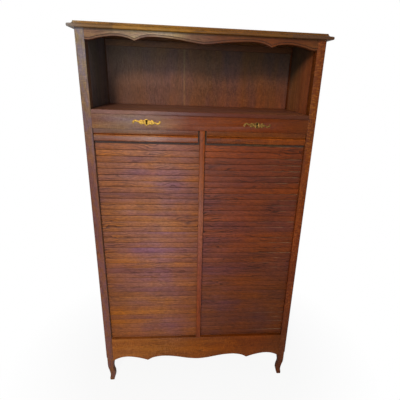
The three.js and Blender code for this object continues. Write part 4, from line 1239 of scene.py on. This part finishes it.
# %% Tambour tree
def slatted_door_tree():
    given = tree_with("slatted_door", [
        ("Slats", "Int", 38), ("Pitch", "Float", 0.0254), ("Width", "Float", 0.42),
        ("Thickness", "Float", 0.0085), ("Rounding", "Float", 0.0013), ("Joint", "Float", 0.0004),
        ("Canvas", "Float", 0.0008), ("Seed", "Int", 1), ("Top middle", "Vector", (0, 0, 1.2)),
        ("Slat finish", "Material", None), ("Canvas finish", "Material", None),
    ])
    index = node("GeometryNodeInputIndex")
    points = slat_points(given, index)
    twist = random_between(*TWIST, given["Seed"], index)
    slats = realized(on_points(points, slat_shape(given), twist))
    slats = finished(slats, given["Slat finish"])
    cloth = finished(cloth_shape(given), given["Canvas finish"])
    door = node("GeometryNodeJoinGeometry", {"Geometry": slats})
    tree.links.new(cloth, door.node.inputs["Geometry"])
    here = node("GeometryNodeInputPosition")
    door = stored(door, "rest_place", here)
    node("NodeGroupOutput", {"Geometry": door})
    return tree


def grown_by(tree, mesh, values):
    """Runs a tree on a mesh with these values and keeps the result as a plain mesh."""
    holder = placed(mesh)
    modifier = holder.modifiers.new("grow", "NODES")
    modifier.node_group = tree
    sockets = {s.name: s.identifier for s in tree.interface.items_tree if s.in_out == "INPUT"}
    for label, value in values.items():
        modifier[sockets[label]] = value
    return baked(holder)


# %% The two doors
PITCH, ROLLED_HEIGHT = 0.0254, 0.0162
door_tree = slatted_door_tree()
for side, seed, finish in (("right", 11, slat_oak), ("left", 4, faded_slat_oak)):
    low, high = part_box(f"{side}_curtain")
    slats = round((high.z - low.z) / PITCH)
    door = grown_by(door_tree, bpy.data.meshes.new(f"{side}_slatted_door"), {
        "Slats": slats, "Pitch": (high.z - low.z) / slats, "Width": high.x - low.x,
        "Seed": seed, "Canvas finish": canvas, "Slat finish": finish,
        "Top middle": ((low.x + high.x) / 2, low.y, high.z),
    })
    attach(door, f"{side}_tambour")
    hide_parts(f"{side}_curtain")
    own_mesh(door)
    corners = [Vector(c) for c in door.bound_box]
    span = [round(max(c[k] for c in corners) - min(c[k] for c in corners), 4) for k in range(3)]
    print(door.name, slats, "slats, size", span)

# %% [markdown]
# ## Key plates
# Both plates are cast from one pattern: scrolls running out to a curled tip on each side of
# the keyhole, with a domed face and chased lines that follow the edge. The face is a fine grid.
# Its outer points are drawn onto the outline, and all are raised by their distance from it.
# A bevel on the bare outline would break at the thin tips.

# %% Key plate outline
# the upper edge, in shares of half the length and of half the height
KEY_PLATE = [
    (-1, 0), (-0.95, 0.32), (-0.88, 0.58), (-0.77, 0.75), (-0.66, 0.58), (-0.56, 0.4),
    (-0.47, 0.58), (-0.38, 0.82), (-0.29, 0.67), (-0.2, 0.65), (-0.1, 0.86), (0, 1), (0.1, 0.84),
    (0.18, 0.58), (0.27, 0.53), (0.38, 0.75), (0.49, 0.44), (0.6, 0.1), (0.71, -0.12), (0.8, -0.1),
    (0.86, 0.2), (0.91, 0.58), (0.97, 0.37),
]
HALF_LENGTH, HALF_HEIGHT, KEY_RADIUS = 0.0545, 0.012, 0.0035
upper = [(x * HALF_LENGTH, z * HALF_HEIGHT) for x, z in KEY_PLATE]
plate_edge = spline(upper + [(-x, -z) for x, z in upper] + [upper[0]], 4)[:-1]
key_edge = arc(0, 0.005, KEY_RADIUS, KEY_RADIUS, -58, 238, 24)
key_edge += [(-0.0019, -0.0085), (0.0019, -0.0085)]


def inside(point, edge):
    """Whether a point lies inside a closed outline."""
    x, z = point
    crossings = 0
    for (ax, az), (bx, bz) in zip(edge, edge[1:] + edge[:1]):
        if (az > z) != (bz > z) and x < ax + (z - az) * (bx - ax) / (bz - az):
            crossings += 1
    return crossings % 2 == 1


def nearest(point, edge):
    """How far a closed outline is from a point, and where it comes nearest."""
    best = None
    here = Vector(point)
    for a, b in zip(edge, edge[1:] + edge[:1]):
        a, b = Vector(a), Vector(b)
        run = b - a
        share = min(max((here - a).dot(run) / run.length_squared, 0), 1)
        spot = a + run * share
        gap = (here - spot).length
        if best is None or gap < best[0]:
            best = (gap, spot)
    return best


# %% Key plates
RIM, RISE, DOME_REACH, CHASED_GAP, CELL = 0.00045, 0.00075, 0.0011, 0.0026, 0.0007
# the eyes of the scrolls, painted dark as shade: place and radius
EYES = [(-0.77, 0.1, 0.0011), (-0.56, 0.0, 0.0009), (-0.38, 0.28, 0.0014), (-0.3, -0.12, 0.001),
        (-0.2, 0.2, 0.0012), (0.2, 0.12, 0.0012), (0.35, 0.3, 0.001)]


def key_plate_face():
    """The cast face, lying level round the origin and raised between its edges."""
    wide, tall = int(HALF_LENGTH / CELL) + 2, int(HALF_HEIGHT / CELL) + 2
    shape = bmesh.new()
    made = {}
    for i in range(-wide, wide):
        for j in range(-tall, tall):
            middle = ((i + 0.5) * CELL, (j + 0.5) * CELL)
            if not inside(middle, plate_edge) or inside(middle, key_edge):
                continue
            corners = [(i, j), (i + 1, j), (i + 1, j + 1), (i, j + 1)]
            for corner in corners:
                if corner not in made:
                    made[corner] = shape.verts.new((corner[0] * CELL, corner[1] * CELL, 0))
            shape.faces.new([made[corner] for corner in corners])
    for vertex in shape.verts:
        place = (vertex.co.x, vertex.co.y)
        outer, hole = nearest(place, plate_edge), nearest(place, key_edge)
        gap, spot = outer if outer[0] < hole[0] else hole
        if any(edge.is_boundary for edge in vertex.link_edges):
            vertex.co.x, vertex.co.y = spot
            gap = 0
        dome = 1 - math.exp(-gap / DOME_REACH)
        chased = 0.3 * math.cos(gap * 2 * math.pi / CHASED_GAP)
        vertex.co.z = RIM + RISE * min(max(dome + chased * dome - 0.06, 0), 1)
    return shape


def is_eye(face, middle):
    """Whether a face lies in one of the drilled eyes of the scrolls, which are painted dark as
    shade.
    """
    x, z = face.center.x - middle.x, face.center.z - middle.z
    spots = [(a * HALF_LENGTH, b * HALF_HEIGHT, r) for a, b, r in EYES]
    spots += [(-a, -b, r) for a, b, r in spots]
    return any(math.hypot(x - a, z - b) < r for a, b, r in spots)


for side, finish in (("right", dull_brass), ("left", bright_brass)):
    low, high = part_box(f"{side}_key_plate")
    middle = (low + high) / 2
    shape = key_plate_face()
    rim = [edge for edge in shape.edges if edge.is_boundary]
    skirt = bmesh.ops.extrude_edge_only(shape, edges=rim)["geom"]
    for vertex in (v for v in skirt if isinstance(v, bmesh.types.BMVert)):
        vertex.co.z = 0
    for vertex in shape.verts:
        x, z, height = vertex.co
        vertex.co = (middle.x + x, high.y - height, middle.z + z)
    # painted shade: a near-black sheet just in front of the rail fills the keyhole
    shape.faces.new([shape.verts.new((middle.x + x * 1.2, high.y - 0.0002, middle.z + z * 1.1))
                     for x, z in key_edge])
    mesh = bpy.data.meshes.new(f"{side}_key_plate_cast")
    shape.to_mesh(mesh)
    shape.free()
    plate = piece_from(mesh, finish, math.radians(60))
    plate.data.materials.append(keyhole_dark)
    for face in plate.data.polygons:
        face.material_index = int(len(face.vertices) > 4 or is_eye(face, middle))
    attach(plate, "root")
    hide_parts(f"{side}_key_plate")
    print(plate.name, len(plate.data.polygons), "faces")

# %% [markdown]
# ## Pins and screws
# Two little brass nails hold each key plate, and two round-headed screws hold each shelf
# cleat. One tree serves both: points where the fixings go, a head on each, turned at random,
# since no joiner lines up every slot. Copies by hand would all look stamped.

# %% Fixing tree
def head_shape(name, radius, height, slotted, finish):
    """A low domed head that looks along +z, with or without a screwdriver slot."""
    rings = []
    for rise in (0, 0.3, 0.62, 0.86):
        out = radius * math.sqrt(1 - rise**2)
        rings.append([(x, y, height * rise) for x, y in arc(0, 0, out, out, 0, 330, 11)])
    head = piece_from(skinned(name, rings), finish)
    if slotted:
        half = radius * 0.16
        cut_away(head, [box("slot", (-radius * 2, radius * 2), (-half, half),
                            (height * 0.35, height * 2), finish)])
    return head


def fixing_tree():
    given = tree_with("fixings", [
        ("Geometry", "Geometry", None), ("Head", "Object", None), ("Seed", "Int", 3),
        ("Finish", "Material", None),
    ])
    head = node("GeometryNodeObjectInfo", {"Object": given["Head"]}, out="Geometry")
    kind = {"data_type": "FLOAT_VECTOR"}
    outward = node("GeometryNodeInputNamedAttribute", {"Name": "outward"}, **kind)
    facing = {"Vector": outward}
    facing = node("FunctionNodeAlignRotationToVector", facing, axis="Z")
    index = node("GeometryNodeInputIndex")
    turn = random_between(0.0, 6.28, given["Seed"], index, "FLOAT")
    heads = on_points(given["Geometry"], head, facing)
    spin = {"Instances": heads, "Rotation": joined_vector(z=turn)}
    heads = realized(node("GeometryNodeRotateInstances", spin))
    node("NodeGroupOutput", {"Geometry": finished(heads, given["Finish"])})
    return tree


fixing_nodes = fixing_tree()


def fixings(name, places, head, finish, seed):
    """Heads at (place, outward direction) pairs, as one plain mesh; the pattern head goes."""
    seats = bpy.data.meshes.new(name)
    seats.from_pydata([place for place, _ in places], [], [])
    directions = seats.attributes.new("outward", "FLOAT_VECTOR", "POINT")
    for held, (_, outward) in zip(directions.data, places):
        held.vector = outward
    made = grown_by(fixing_nodes, seats, {"Head": head, "Seed": seed, "Finish": finish})
    bpy.data.objects.remove(head)
    return made


# %% Pins and screws
# radius and height of a head, and where the pins go beside the keyhole
PIN, SCREW = (0.0011, 0.0007), (0.0026, 0.0012)
PIN_PLACES = ((-0.0195, 0.001), (0.0185, 0.001))
for side, sign, finish in (("right", 1, dull_brass), ("left", -1, bright_brass)):
    low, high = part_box(f"{side}_key_plate")
    middle = (low + high) / 2
    pin = head_shape("pin_head", *PIN, False, finish)
    places = [((middle.x + x, low.y + 0.0002, middle.z + z), (0, -1, 0))
              for x, z in PIN_PLACES]
    pins = fixings(f"{side}_key_plate_pins", places, pin, finish, 3)
    screw = head_shape("screw_head", *SCREW, True, bright_brass)
    places = []
    for nth in (1, 2, 3):
        for which, inwards in (("outer", -sign), ("inner", sign)):
            low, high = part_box(f"{side}_{which}_cleat_{nth}")
            face_x = low.x if inwards < 0 else high.x
            for share in (0.14, 0.86):
                place = (face_x, low.y + (high.y - low.y) * share, (low.z + high.z) / 2)
                places.append((place, (inwards, 0, 0)))
    screws = fixings(f"{side}_cleat_screws", places, screw, bright_brass, 5)
    for made in (pins, screws):
        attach(made, "root")
        print(made.name, len(made.data.polygons), "faces")

# %% [markdown]
# ## Size of the finished look
# The box round everything that is drawn is printed here.

# %% Sizes
low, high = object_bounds()
print("visual box", [round(v, 4) for v in (*low, *high)])
